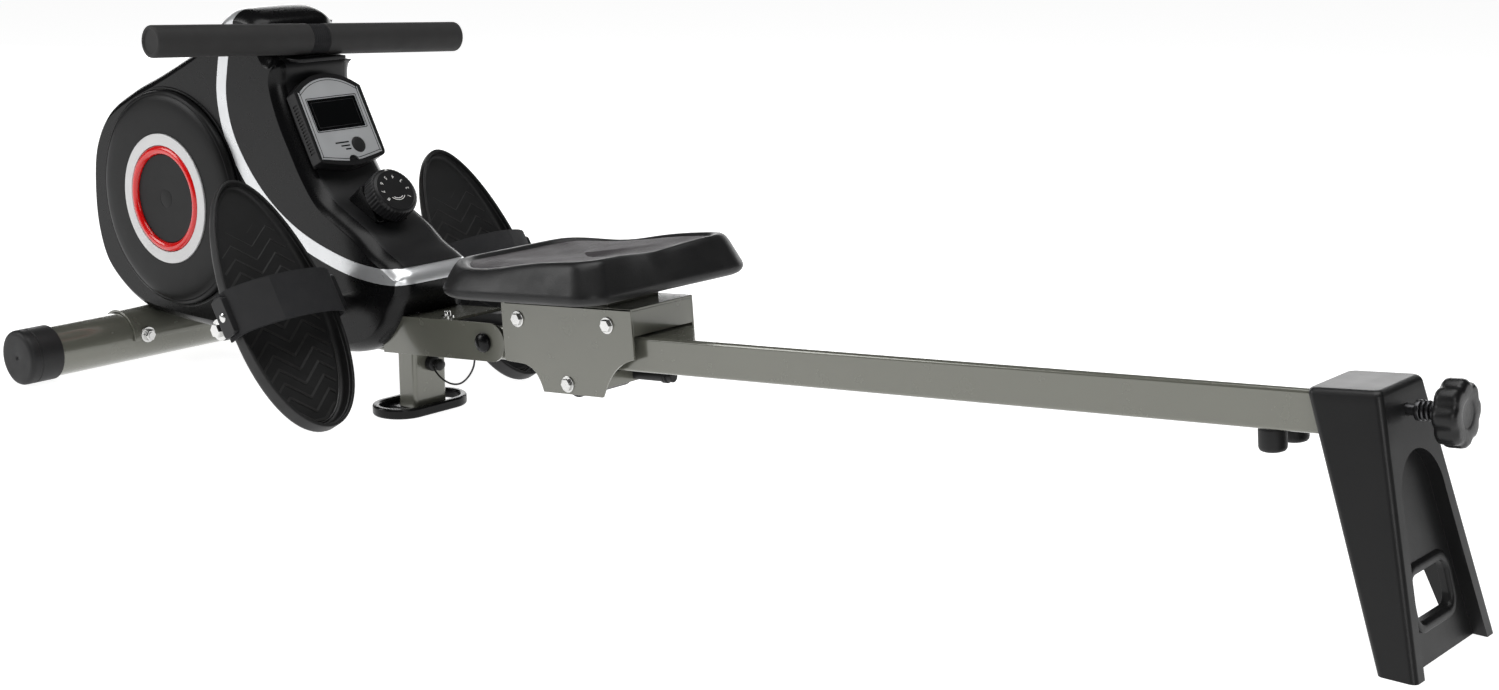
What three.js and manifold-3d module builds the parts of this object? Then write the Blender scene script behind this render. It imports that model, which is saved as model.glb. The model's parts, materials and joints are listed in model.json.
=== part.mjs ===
// A folding magnetic rowing machine.
// X runs from the flywheel end (-X) to the rear leg (+X), Y across, Z up. While the pieces are laid out,
// x = 0 is the fold pivot; the last lines move the whole machine so that its origin is under its middle.
// The left side is the rower's left, which is -Y.
import * as THREE from "three";
import { mergeVertices } from "three/addons/utils/BufferGeometryUtils.js";
import Module from "manifold-3d";

const wasm = await Module();
wasm.setup();

// ---- Driving dimensions, in millimetres and degrees ----
const TOUCH = 0.3; // gap between pieces that touch
const RUNNING = 0.5; // radial clearance of a turning piece on its axle
const SIDES = [
  ["left", -1],
  ["right", 1],
];

const PIVOT_HEIGHT = 110;
const RAIL = { width: 76.2, height: 38.1, wall: 2.5, slope: 5.09, front: -45, rear: 1040, endPlate: 5 };
const PIN_RADIUS = 8;
const PIVOT_CAP = { radius: 11, height: 8 };

const STABILISER = { x: -615, z: 34, radius: 31.75, wall: 2, halfWidth: 242 };
const STABILISER_CAP = { radius: 34, length: 45, wall: 3, dimple: 3 };
const SADDLE = { halfWidth: 95, wall: 3.2, boltY: 76, boltZ: 6, boltRadius: 4 };

const BEAM = { front: -640, rear: -171.9, halfWidth: 30, bottom: 70, top: 100, wall: 3 };
const UPRIGHT = { thickness: 4, halfLength: 24 };
const BRACKET = { front: -171, boxEnd: -58, rear: 32, below: 21.5, above: 22.5, wall: 3 };
const POST = { x: -151, depth: 30, width: 50, wall: 2.5, corner: 5 };
const FOOT = { x: -156, length: 125, depth: 68, bar: 8, height: 12, web: 6 };

const CASING = { wall: 3, halfWidth: 60, trimWidth: 18 };
const DISC = { x: -530, z: 219, radius: 133, face: 13, inner: 55 };
const WHITE_RING = { inner: 66.2, outer: 80.7, height: 6 };
const RED_RING = { inner: 55.3, outer: 65.9, height: 7.5 };

const FLYWHEEL = { radius: 112, rim: 22, rimHalf: 12, web: 4, hub: 20, hubHalf: 12, pulley: 14 };
const AXLE_RADIUS = 6;
const MAGNET = { gap: 4, thickness: 10, halfWidth: 12, start: 15, end: 78 };
const SPOOL = { x: -355, z: 225, drum: 22, flange: 40, wheel: 48, halfDrum: 12 };
const BELT = { inner: 13, outer: 21, thickness: 2 };
const SPRING_CASE = { radius: 34, thickness: 9 };

const CONSOLE = { x: -307, z: 378, tilt: 61.2, halfWidth: 50, length: 112, thickness: 16, fascia: 2, pedestal: 8 };
const SCREEN = { top: 25.5, bottom: 65, halfWidth: 36 };
const BUTTON = { down: 87.4, y: 14.7, radius: 9.5, height: 3, travel: 1.5 };
const KNOB = { x: -185, z: 257, tilt: 53.1, radius: 31, height: 20, spindle: 4 };
const KNOB_BASE = { length: 50, width: 46, thickness: 34 };

const REST = { x: -320, z: 398.5, length: 34, width: 70, height: 4 };
const SLOT = { x: -325.5, width: 6, length: 28 };
const STRAP = { thickness: 1.6, width: 22 };
const ROLLER = { radius: 6, bore: 2.2 };
const HANDLE = { x: -321, y: -4, z: 423.5, tube: 12.7, wall: 1.5, grip: 18.3, length: 440, tilt: 3.3, yaw: 2.5 };

const PEDAL_AXLE = { x: -227, z: 124, radius: 8, halfWidth: 225.5, spacer: 12, spacerEnd: 86 };
const PEDAL = {
  y: 157, tilt: 58, halfLength: 154, halfWidth: 69, egg: 0.12, forward: 8,
  rim: 31, heelFloor: 12, toeFloor: 22, floor: 6, wall: 4, boss: 13,
};
const PEDAL_STRAP = { start: -22, width: 54, height: 30, thickness: 2.5, clearance: 3 };

// Along the rail these are places; up and down they are heights above the rail's top or depths below it.
const CARRIAGE = {
  front: 40, rear: 234, above: 31, below: 28.5, side: 8, wall: 3,
  upper: [65, 199], upperRadius: 12, lower: 134, lowerRadius: 17, bolt: 4,
  bufferPlate: 186, bufferEnd: 244, bufferRadius: 6, bufferDepth: 11,
};
const SEAT = { front: -4, rear: 256, halfWidth: 130, lift: 14, thickness: 42, frontCorner: 70, rearCorner: 30 };
const PAD = { rear: 52.4, height: 12.5, margin: 5 };
const BUMPER = { fromEnd: 92.5, y: 20.5, radius: 12.5, height: 22 };

// The leg's corners are measured from the middle of the rail's end.
const LEG = {
  topFront: [-52.9, 16.7], topRear: [13.1, 23.7], bottomFront: 42.1, bottomRear: 77.1,
  cheek: 4, halfBottom: 81, corner: 6, rim: 17, pocket: 13, plate: 6,
};
const HAND_HOLE = { low: 34, high: 72, halfWidth: 34, corner: 10 };
const LEG_KNOB = { screw: 5, neck: 9, radius: 29, lobe: 1.6, lobes: 8, gap: 50, thickness: 22 };

const LOCK_PIN = { z: 58, radius: 4, collar: 9, grip: 7 };
const LANYARD_RADIUS = 1.1;

// ---- Materials ----
const material = (color, roughness, metalness = 0) =>
  new THREE.MeshStandardMaterial({ color, roughness, metalness });
const PAINT = material(0x5c5d52, 0.4, 0.55);
const BLACK = material(0x141415, 0.42);
const SILVER = material(0xb9bbbd, 0.35, 0.6);
const WHITE = material(0xc9c9c7, 0.45);
const RED = material(0xb31010, 0.25);
const FOAM = material(0x262627, 0.9);
const RUBBER = material(0x161616, 0.75);
const WEBBING = material(0x101011, 0.95);
const SCREEN_GLASS = material(0x050606, 0.15);
const ZINC = material(0xa8abae, 0.3, 0.9);
const CAST = material(0x3a3c3f, 0.5, 0.8);

// ---- Solids ----
function solidOf(geometry) {
  const bare = geometry.index ? geometry.toNonIndexed() : geometry.clone();
  bare.deleteAttribute("normal");
  bare.deleteAttribute("uv");
  const merged = mergeVertices(bare, 1e-4);
  const build = (triVerts) =>
    new wasm.Manifold(
      new wasm.Mesh({ numProp: 3, vertProperties: merged.attributes.position.array, triVerts }),
    );
  const triangles = new Uint32Array(merged.index.array);
  const made = build(triangles);
  return made.volume() > 0 ? made : build(triangles.reverse());
}

function geometryOf(solid) {
  const mesh = solid.getMesh();
  const positions = new Float32Array(mesh.numVert * 3);
  for (let i = 0; i < mesh.numVert; i++)
    positions.set(mesh.vertProperties.subarray(i * mesh.numProp, i * mesh.numProp + 3), i * 3);
  return new THREE.BufferGeometry()
    .setAttribute("position", new THREE.BufferAttribute(positions, 3))
    .setIndex(new THREE.BufferAttribute(new Uint32Array(mesh.triVerts), 1));
}

const join = (...solids) => solids.reduce((all, next) => all.add(next));
const cut = (solid, ...tools) => tools.reduce((rest, tool) => rest.subtract(tool), solid);
const radians = THREE.MathUtils.degToRad;

function box(x0, x1, y0, y1, z0, z1) {
  const geometry = new THREE.BoxGeometry(x1 - x0, y1 - y0, z1 - z0);
  return solidOf(geometry.translate((x0 + x1) / 2, (y0 + y1) / 2, (z0 + z1) / 2));
}

function rodY(radius, y0, y1, x = 0, z = 0, sides = 24) {
  const geometry = new THREE.CylinderGeometry(radius, radius, y1 - y0, sides);
  return solidOf(geometry.translate(x, (y0 + y1) / 2, z));
}

function rodX(radius, x0, x1, y = 0, z = 0, sides = 20) {
  const geometry = new THREE.CylinderGeometry(radius, radius, x1 - x0, sides).rotateZ(-Math.PI / 2);
  return solidOf(geometry.translate((x0 + x1) / 2, y, z));
}

function rodZ(radius, z0, z1, x = 0, y = 0, sides = 24) {
  const geometry = new THREE.CylinderGeometry(radius, radius, z1 - z0, sides).rotateX(Math.PI / 2);
  return solidOf(geometry.translate(x, y, (z0 + z1) / 2));
}

// Turns a profile of [radius, y] points about the Y direction; it starts and ends on the axis, or closes.
function turnedY(profile, x = 0, z = 0, sides = 32) {
  const points = profile.map(([radius, y]) => new THREE.Vector2(radius, y));
  return solidOf(new THREE.LatheGeometry(points, sides).translate(x, 0, z));
}

function turnedX(profile, y = 0, z = 0, sides = 24) {
  const points = profile.map(([radius, x]) => new THREE.Vector2(radius, x));
  return solidOf(new THREE.LatheGeometry(points, sides).rotateZ(-Math.PI / 2).translate(0, y, z));
}

const closedProfile = (points) => [...points, points[0]];

const shapeOf = (points) => new THREE.Shape(points.map(([a, b]) => new THREE.Vector2(a, b)));

// Pulls an outline of [x, z] points along Y from y0 to y1.
function prismY(points, y0, y1, holes = []) {
  const shape = shapeOf(points);
  shape.holes = holes.map(shapeOf);
  const geometry = new THREE.ExtrudeGeometry(shape, { depth: y1 - y0, bevelEnabled: false });
  return solidOf(geometry.rotateX(Math.PI / 2).translate(0, y1, 0));
}

// Pulls an outline of [x, y] points along Z from z0 to z1.
function prismZ(points, z0, z1, holes = []) {
  const shape = shapeOf(points);
  shape.holes = holes.map(shapeOf);
  const geometry = new THREE.ExtrudeGeometry(shape, { depth: z1 - z0, bevelEnabled: false });
  return solidOf(geometry.translate(0, 0, z0));
}

// Pulls an outline of [y, z] points along X from x0 to x1.
function prismX(points, x0, x1) {
  const geometry = new THREE.ExtrudeGeometry(shapeOf(points), { depth: x1 - x0, bevelEnabled: false });
  geometry.applyMatrix4(new THREE.Matrix4().set(0, 0, 1, x0, 1, 0, 0, 0, 0, 1, 0, 0, 0, 0, 0, 1));
  return solidOf(geometry);
}

const arc = (cx, cy, radius, from, to, steps) =>
  Array.from({ length: steps + 1 }, (_, i) => {
    const angle = radians(from + ((to - from) * i) / steps);
    return [cx + radius * Math.cos(angle), cy + radius * Math.sin(angle)];
  });

function roundedBox(x0, x1, y0, y1, radius, steps = 4) {
  return [
    ...arc(x1 - radius, y1 - radius, radius, 0, 90, steps),
    ...arc(x0 + radius, y1 - radius, radius, 90, 180, steps),
    ...arc(x0 + radius, y0 + radius, radius, 180, 270, steps),
    ...arc(x1 - radius, y0 + radius, radius, 270, 360, steps),
  ];
}

const circle = (cx, cy, radius, steps) => arc(cx, cy, radius, 0, 360 - 360 / steps, steps - 1);

// A skin through rings of equal point counts, closed by a flat lid on the first and the last ring.
function loft(rings) {
  const count = rings[0].length;
  const corners = [];
  for (let r = 0; r + 1 < rings.length; r++)
    for (let i = 0; i < count; i++) {
      const next = (i + 1) % count;
      corners.push(rings[r][i], rings[r][next], rings[r + 1][next]);
      corners.push(rings[r][i], rings[r + 1][next], rings[r + 1][i]);
    }
  const lid = (ring, along) => {
    const spread = [0, 1, 2].map((k) => {
      const values = ring.map((p) => p[k]);
      return Math.max(...values) - Math.min(...values);
    });
    const flat = spread.indexOf(Math.min(...spread));
    const outline = ring.map((p) => new THREE.Vector2(p[(flat + 1) % 3], p[(flat + 2) % 3]));
    const keep = THREE.ShapeUtils.area(outline) > 0 === along;
    for (const [i, j, k] of THREE.ShapeUtils.triangulateShape(outline, []))
      corners.push(...(keep ? [ring[i], ring[j], ring[k]] : [ring[k], ring[j], ring[i]]));
  };
  lid(rings[0], false);
  lid(rings[rings.length - 1], true);
  const positions = new Float32Array(corners.flat());
  return solidOf(new THREE.BufferGeometry().setAttribute("position", new THREE.BufferAttribute(positions, 3)));
}

// Moves every point of a closed outline inwards, and less at an outward corner that is too tight for it.
function inset(points, distance) {
  const around = (i) => [points[(i + points.length - 1) % points.length], points[i], points[(i + 1) % points.length]];
  const turn = Math.sign(THREE.ShapeUtils.area(points.map(([a, b]) => new THREE.Vector2(a, b))));
  const allowed = points.map((_, i) => {
    const [before, here, after] = around(i);
    const [a0, b0] = [here[0] - before[0], here[1] - before[1]];
    const [a1, b1] = [after[0] - here[0], after[1] - here[1]];
    const bend = turn * Math.atan2(a0 * b1 - b0 * a1, a0 * a1 + b0 * b1);
    const radius = (Math.hypot(a0, b0) + Math.hypot(a1, b1)) / 2 / Math.max(bend, 1e-6);
    return Math.min(distance, distance < 5 ? distance : radius * 0.6);
  });
  return points.map(([a, b], i) => {
    const [before, , after] = around(i);
    const length = Math.hypot(after[0] - before[0], after[1] - before[1]);
    const near = (allowed[(i + points.length - 1) % points.length] + allowed[(i + 1) % points.length]) / 2;
    const move = (turn * Math.min(allowed[i], (allowed[i] + near) / 2)) / length;
    return [a - move * (after[1] - before[1]), b + move * (after[0] - before[0])];
  });
}

// ---- The scene graph ----
const machine = new THREE.Group();
const sloped = new THREE.Group(); // its X runs along the rail and its Z square to it, from the fold pivot
sloped.position.set(0, 0, PIVOT_HEIGHT);
sloped.rotation.y = -radians(RAIL.slope);
machine.add(sloped);

function piece(name, solid, look, parent = machine) {
  const mesh = new THREE.Mesh(geometryOf(solid), look);
  mesh.name = name;
  parent.add(mesh);
  return mesh;
}

// A frame that stands on a surface: its Z leaves the surface, and its X runs down it.
function surfaceFrame({ x, z, tilt }) {
  const frame = new THREE.Group();
  frame.position.set(x, 0, z);
  frame.rotation.y = radians(tilt);
  machine.add(frame);
  return frame;
}

// The same frame's move, for cutting a neighbour that isn't in it.
const onSurface = ({ x, z, tilt }, solid) => {
  const geometry = geometryOf(solid);
  geometry.rotateY(radians(tilt)).translate(x, 0, z);
  return solidOf(geometry);
};
const onSlope = (solid) => onSurface({ x: 0, z: PIVOT_HEIGHT, tilt: -RAIL.slope }, solid);

// ---- Front stabiliser ----
function stabiliser() {
  const { x, z, radius, wall, halfWidth } = STABILISER;
  const cap = STABILISER_CAP;
  const end = halfWidth - cap.wall - TOUCH;
  const tube = turnedY(
    closedProfile([[radius - wall, -end], [radius, -end], [radius, end], [radius - wall, end]]),
    x, z,
  );
  const boltHoles = SIDES.map(([, side]) =>
    rodX(SADDLE.boltRadius + RUNNING, x - radius - 5, x + radius + 5, side * SADDLE.boltY, z + SADDLE.boltZ, 12),
  );
  piece("stabiliser_tube", cut(tube, ...boltHoles), PAINT);
  for (const [name, side] of SIDES) {
    const inner = halfWidth - cap.length;
    const profile = [
      [0, halfWidth - cap.wall], [radius + TOUCH, halfWidth - cap.wall], [radius + TOUCH, inner],
      [cap.radius, inner], [cap.radius, halfWidth - cap.dimple], [cap.radius - 3, halfWidth],
      [cap.dimple, halfWidth], [cap.dimple, halfWidth - 2], [0, halfWidth - 2],
    ];
    piece("stabiliser_cap_" + name, turnedY(profile.map(([r, y]) => [r, side * y]), x, z), RUBBER);
  }
}

// ---- Main frame: the beam, the two pairs of uprights that carry the wheels, and the saddle with its bolts ----
function mainFrame() {
  const { front, rear, halfWidth, bottom, top, wall } = BEAM;
  const beam = cut(
    box(front, rear, -halfWidth, halfWidth, bottom, top),
    box(front + wall, rear + 1, -halfWidth + wall, halfWidth - wall, bottom + wall, top - wall),
  );
  const uprights = SIDES.flatMap(([, side]) =>
    [DISC, SPOOL].map(({ x, z }) => {
      const outline = [
        [x - UPRIGHT.halfLength, top - 1], [x + UPRIGHT.halfLength, top - 1],
        ...arc(x, z, 16, 0, 180, 8),
      ];
      const plate = prismY(outline, halfWidth - UPRIGHT.thickness, halfWidth);
      const placed = side > 0 ? plate : plate.translate([0, UPRIGHT.thickness - 2 * halfWidth, 0]);
      return cut(placed, rodY(AXLE_RADIUS + TOUCH, -halfWidth - 1, halfWidth + 1, x, z, 16));
    }),
  );
  const tube = { x: STABILISER.x, z: STABILISER.z, radius: STABILISER.radius + RUNNING };
  const outer = tube.radius + SADDLE.wall;
  const saddle = prismY(
    [...arc(tube.x, tube.z, outer, 0, 180, 14), ...arc(tube.x, tube.z, tube.radius, 180, 0, 14)],
    -SADDLE.halfWidth, SADDLE.halfWidth,
  );
  const neck = cut(
    box(tube.x - 20, tube.x + 20, -halfWidth, halfWidth, tube.z + 20, bottom + 1),
    rodY(tube.radius, -halfWidth - 1, halfWidth + 1, tube.x, tube.z),
  );
  const bolts = SIDES.map(([, side]) => {
    const [y, z] = [side * SADDLE.boltY, tube.z + SADDLE.boltZ];
    return join(
      rodX(SADDLE.boltRadius, tube.x - outer - 1, tube.x + outer + 9, y, z, 12),
      rodX(9, tube.x - outer - 3, tube.x - outer + 1.5, y, z, 12),
      rodX(10, tube.x + outer - 1.5, tube.x + outer + 1, y, z, 16),
      rodX(7.5, tube.x + outer + 1, tube.x + outer + 7, y, z, 6),
    );
  });
  piece("main_frame", join(beam, ...uprights, saddle, neck, ...bolts), PAINT);
}

// ---- Fold bracket: a closed box in front, and two rounded cheeks that hold the pivot ----
const RAIL_HALF = RAIL.width / 2;
const CHEEK_INNER = RAIL_HALF + RUNNING;
const CHEEK_OUTER = CHEEK_INNER + BRACKET.wall;

function foldBracket() {
  const { front, boxEnd, rear, below, above, wall } = BRACKET;
  const end = (below + above) / 2;
  const middle = (above - below) / 2;
  const outline = [[front, -below], [rear - end, -below], ...arc(rear - end, middle, end, -80, 80, 12), [front, above]];
  const body = prismY(outline, -CHEEK_OUTER, CHEEK_OUTER);
  const inside = box(front - 1, rear + 1, -CHEEK_INNER, CHEEK_INNER, -below + wall, above - wall);
  const open = box(boxEnd, rear + 1, -CHEEK_INNER, CHEEK_INNER, -below - 1, above + 1);
  const bore = rodY(PIN_RADIUS + TOUCH, -CHEEK_OUTER - 1, CHEEK_OUTER + 1);
  piece("fold_bracket", cut(body, inside, open, bore), PAINT, sloped);
  piece("fold_pin", rodY(PIN_RADIUS, -CHEEK_OUTER, CHEEK_OUTER), ZINC, sloped);
  for (const [name, side] of SIDES) {
    const base = CHEEK_OUTER + TOUCH;
    const dome = arc(0, 0, 1, 0, 90, 5).map(([c, s]) => [PIVOT_CAP.radius * c, base + 2 + (PIVOT_CAP.height - 2) * s]);
    const profile = [[0, base], [PIVOT_CAP.radius, base], ...dome.slice(0, -1), [0, base + PIVOT_CAP.height]];
    piece("pivot_cap_" + name, turnedY(profile.map(([r, y]) => [r, side * y]), 0, 0, 20), BLACK, sloped);
  }
}

// ---- Middle support: a post under the bracket, a foot ring, and the lock pin parked in the post ----
const slopeDrop = (x) => x * Math.tan(radians(RAIL.slope));

function middleSupport() {
  const { x, depth, width, wall, corner } = POST;
  const underBracket =
    PIVOT_HEIGHT + slopeDrop(x - depth / 2) - BRACKET.below / Math.cos(radians(RAIL.slope)) - TOUCH;
  const outline = roundedBox(x - depth / 2, x + depth / 2, -width / 2, width / 2, corner, 3);
  const pinHole = rodX(LOCK_PIN.radius + RUNNING, x - depth, x + depth, 0, LOCK_PIN.z, 16);
  const tube = prismZ(outline, FOOT.web + TOUCH, underBracket, [inset(outline, wall)]);
  piece("middle_post", cut(tube, pinHole), PAINT);

  const half = FOOT.depth / 2;
  const straight = FOOT.length / 2 - half;
  const stadium = (r) => [
    ...arc(FOOT.x, straight, r, 0, 180, 10),
    ...arc(FOOT.x, -straight, r, 180, 360, 10),
  ];
  const ring = prismZ(stadium(half), 0, FOOT.height, [stadium(half - FOOT.bar)]);
  const web = box(FOOT.x - half + 1, FOOT.x + half - 1, -width / 2 - 3, width / 2 + 3, 0, FOOT.web);
  piece("foot_ring", join(ring, web), BLACK);

  const face = x + depth / 2 + TOUCH;
  const profile = [
    [0, x - depth / 2 - 6], [LOCK_PIN.radius, x - depth / 2 - 6], [LOCK_PIN.radius, face],
    [LOCK_PIN.collar, face], [LOCK_PIN.collar, face + 8], [LOCK_PIN.grip - 2.5, face + 10],
    [LOCK_PIN.grip, face + 14], [LOCK_PIN.grip, face + 18], [0, face + 20],
  ];
  piece("lock_pin", turnedX(profile, 0, LOCK_PIN.z, 16), BLACK);
}

// The lanyard hangs from the lock pin's grip and is tied under the left cheek.
const LANYARD_ROUTE = [
  [-121, -9.2, 57.2], [-117.5, -10.4, 54.6], [-112.5, -12, 52], [-106, -14, 49.6], [-98, -16.6, 47.8],
  [-89, -19.4, 46.8], [-80, -22, 46.6], [-71, -24.6, 47.4], [-62, -27.2, 49.2], [-53, -29.8, 52.2],
  [-44.5, -32.2, 56.6], [-36.5, -34.6, 62], [-29.5, -36.6, 68], [-24, -38.2, 74], [-20, -39.4, 80],
  [-18, -40, 86],
];

function lanyard() {
  const path = new THREE.CatmullRomCurve3(LANYARD_ROUTE.map((p) => new THREE.Vector3(...p)));
  const section = shapeOf(circle(0, 0, LANYARD_RADIUS, 8));
  const geometry = new THREE.ExtrudeGeometry(section, { extrudePath: path, steps: 36, bevelEnabled: false });
  piece("lanyard", solidOf(geometry), BLACK);
}

// ---- Casing: two body shells, the trim band and the console cover, all cut from one hollow skin ----
function smoothLoop(points, count) {
  const through = points.map(([x, z]) => new THREE.Vector3(x, 0, z));
  const curve = new THREE.CatmullRomCurve3(through, true, "centripetal");
  return curve.getPoints(count).slice(0, count).map((p) => [p.x, p.z]);
}

const CASING_OUTLINE = smoothLoop([
  [-405, 457], [-374, 456], [-352, 446], [-345, 428], [-338, 408], [-321, 397], [-321, 372], [-309, 338],
  [-290, 304], [-270, 272], [-248, 247], [-218, 231], [-186, 215], [-160, 197], [-133, 184], [-114, 170],
  [-113, 150], [-128, 127], [-142, 105], [-163, 84], [-195, 70], [-240, 63], [-330, 59], [-440, 58],
  [-560, 60], [-612, 66], [-652, 84], [-689, 116], [-706, 160], [-709, 215], [-699, 271], [-668, 315],
  [-615, 346], [-560, 369], [-515, 389], [-470, 411], [-436, 438],
], 80);

const TRIM_LINE = new THREE.CatmullRomCurve3(
  [[-397, 480], [-405, 440], [-418, 395], [-424, 352], [-411, 302], [-364, 242], [-300, 200], [-215, 174],
    [-150, 168], [-90, 173]].map(([x, z]) => new THREE.Vector3(x, 0, z)),
  false, "centripetal",
).getPoints(34).map((p) => [p.x, p.z]);

// The trim line's points moved sideways, towards the console when the offset is positive.
const besideTrim = (offset) =>
  TRIM_LINE.map(([x, z], i) => {
    const [x0, z0] = TRIM_LINE[Math.max(i - 1, 0)];
    const [x1, z1] = TRIM_LINE[Math.min(i + 1, TRIM_LINE.length - 1)];
    const length = Math.hypot(x1 - x0, z1 - z0);
    return [x - (offset * (z1 - z0)) / length, z + (offset * (x1 - x0)) / length];
  });

function casingSkin() {
  const rings = [[0, 0], [42, 1], [53, 5], [CASING.halfWidth, 14]];
  const ringAt = (y, distance) => inset(CASING_OUTLINE, distance).map(([x, z]) => [x, y, z]);
  const halves = SIDES.map(([, side]) => {
    const outside = rings.map(([y, distance]) => ringAt(side * y, distance));
    const inside = rings.map(([y, distance]) => ringAt(side * (y > 50 ? y - CASING.wall : y), distance + CASING.wall));
    return loft([...inside.reverse(), ...outside]);
  });
  return join(...halves);
}

function casing() {
  const far = CASING.halfWidth + 5;
  const clear = CHEEK_OUTER + 1;
  const skin = cut(
    casingSkin(),
    onSlope(box(BRACKET.front - 3, -90, -clear, clear, -BRACKET.below - 15, BRACKET.above + 1)),
    box(BEAM.front - 1, BEAM.rear + 1, -BEAM.halfWidth - 1, BEAM.halfWidth + 1, BEAM.bottom - 1, BEAM.top + 1),
    box(STABILISER.x - 21, STABILISER.x + 21, -BEAM.halfWidth - 1, BEAM.halfWidth + 1, 0, BEAM.top),
    rodY(STABILISER.radius + RUNNING + SADDLE.wall + 1, -far, far, STABILISER.x, STABILISER.z, 28),
    rodY(PEDAL_AXLE.spacer + 1, -far, far, PEDAL_AXLE.x, PEDAL_AXLE.z, 20),
    box(SLOT.x - SLOT.width / 2, SLOT.x + SLOT.width / 2, -SLOT.length / 2, SLOT.length / 2, 375, 420),
    onSurface(CONSOLE, prismZ(inset(consoleOutline(), -TOUCH), -CONSOLE.thickness - TOUCH, 30)),
    onSurface(CONSOLE, pedestal(TOUCH)),
    onSurface(KNOB, box(
      -KNOB_BASE.length / 2 - TOUCH, KNOB_BASE.length / 2 + TOUCH, -KNOB_BASE.width / 2 - TOUCH,
      KNOB_BASE.width / 2 + TOUCH, -KNOB.height - KNOB_BASE.thickness - 1, 30,
    )),
    onSurface(KNOB, rodZ(KNOB.spindle + 1, -90, 0, 0, 0, 12)),
    onSurface(KNOB, rodZ(KNOB.radius + 1, -KNOB.height - TOUCH, 30, 0, 0, 28)),
    box(REST.x - REST.length / 2 - TOUCH, REST.x + REST.length / 2 + TOUCH, -REST.width / 2 - TOUCH,
      REST.width / 2 + TOUCH, REST.z - TOUCH, REST.z + 30),
  );
  const half = CASING.trimWidth / 2;
  const band = prismY([...besideTrim(half), ...besideTrim(-half).reverse()], -far, far);
  const groove = prismY([...besideTrim(half + TOUCH), ...besideTrim(-half - TOUCH).reverse()], -far, far);
  const coverSide = prismY([...besideTrim(0), [-60, 600], [-390, 600]], -far, far);
  piece("trim_band", skin.intersect(band), SILVER);
  piece("console_cover", cut(skin.intersect(coverSide), groove), BLACK);
  const body = cut(skin, coverSide, groove);
  for (const [name, side] of SIDES) {
    const keep = side < 0 ? [-far, -TOUCH / 2] : [TOUCH / 2, far];
    piece("casing_" + name, body.intersect(box(-800, 0, ...keep, 0, 600)), BLACK);
  }
}

function discs() {
  for (const [name, side] of SIDES) {
    const base = CASING.halfWidth + TOUCH;
    const face = base + DISC.face;
    const seat = face - 4;
    const cover = [
      [0, base], [DISC.radius - 2, base], [DISC.radius, base + 3], [DISC.radius, base + 6],
      [DISC.radius - 7, face - 2], [DISC.radius - 14, face], [WHITE_RING.outer + TOUCH, face],
      [WHITE_RING.outer + TOUCH, seat], [DISC.inner, seat], [DISC.inner, seat + 3], [0, seat + 3],
    ];
    const ring = ({ inner, outer, height }) => closedProfile([
      [inner, seat + TOUCH], [outer, seat + TOUCH], [outer, seat + height - 1],
      [(inner + outer) / 2, seat + height], [inner, seat + height - 1],
    ]);
    const add = (label, profile, look) =>
      piece(label + "_" + name, turnedY(profile.map(([r, y]) => [r, side * y]), DISC.x, DISC.z, 32), look);
    add("disc_cover", cover, BLACK);
    add("white_ring", ring(WHITE_RING), WHITE);
    add("red_ring", ring(RED_RING), RED);
  }
}

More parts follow.
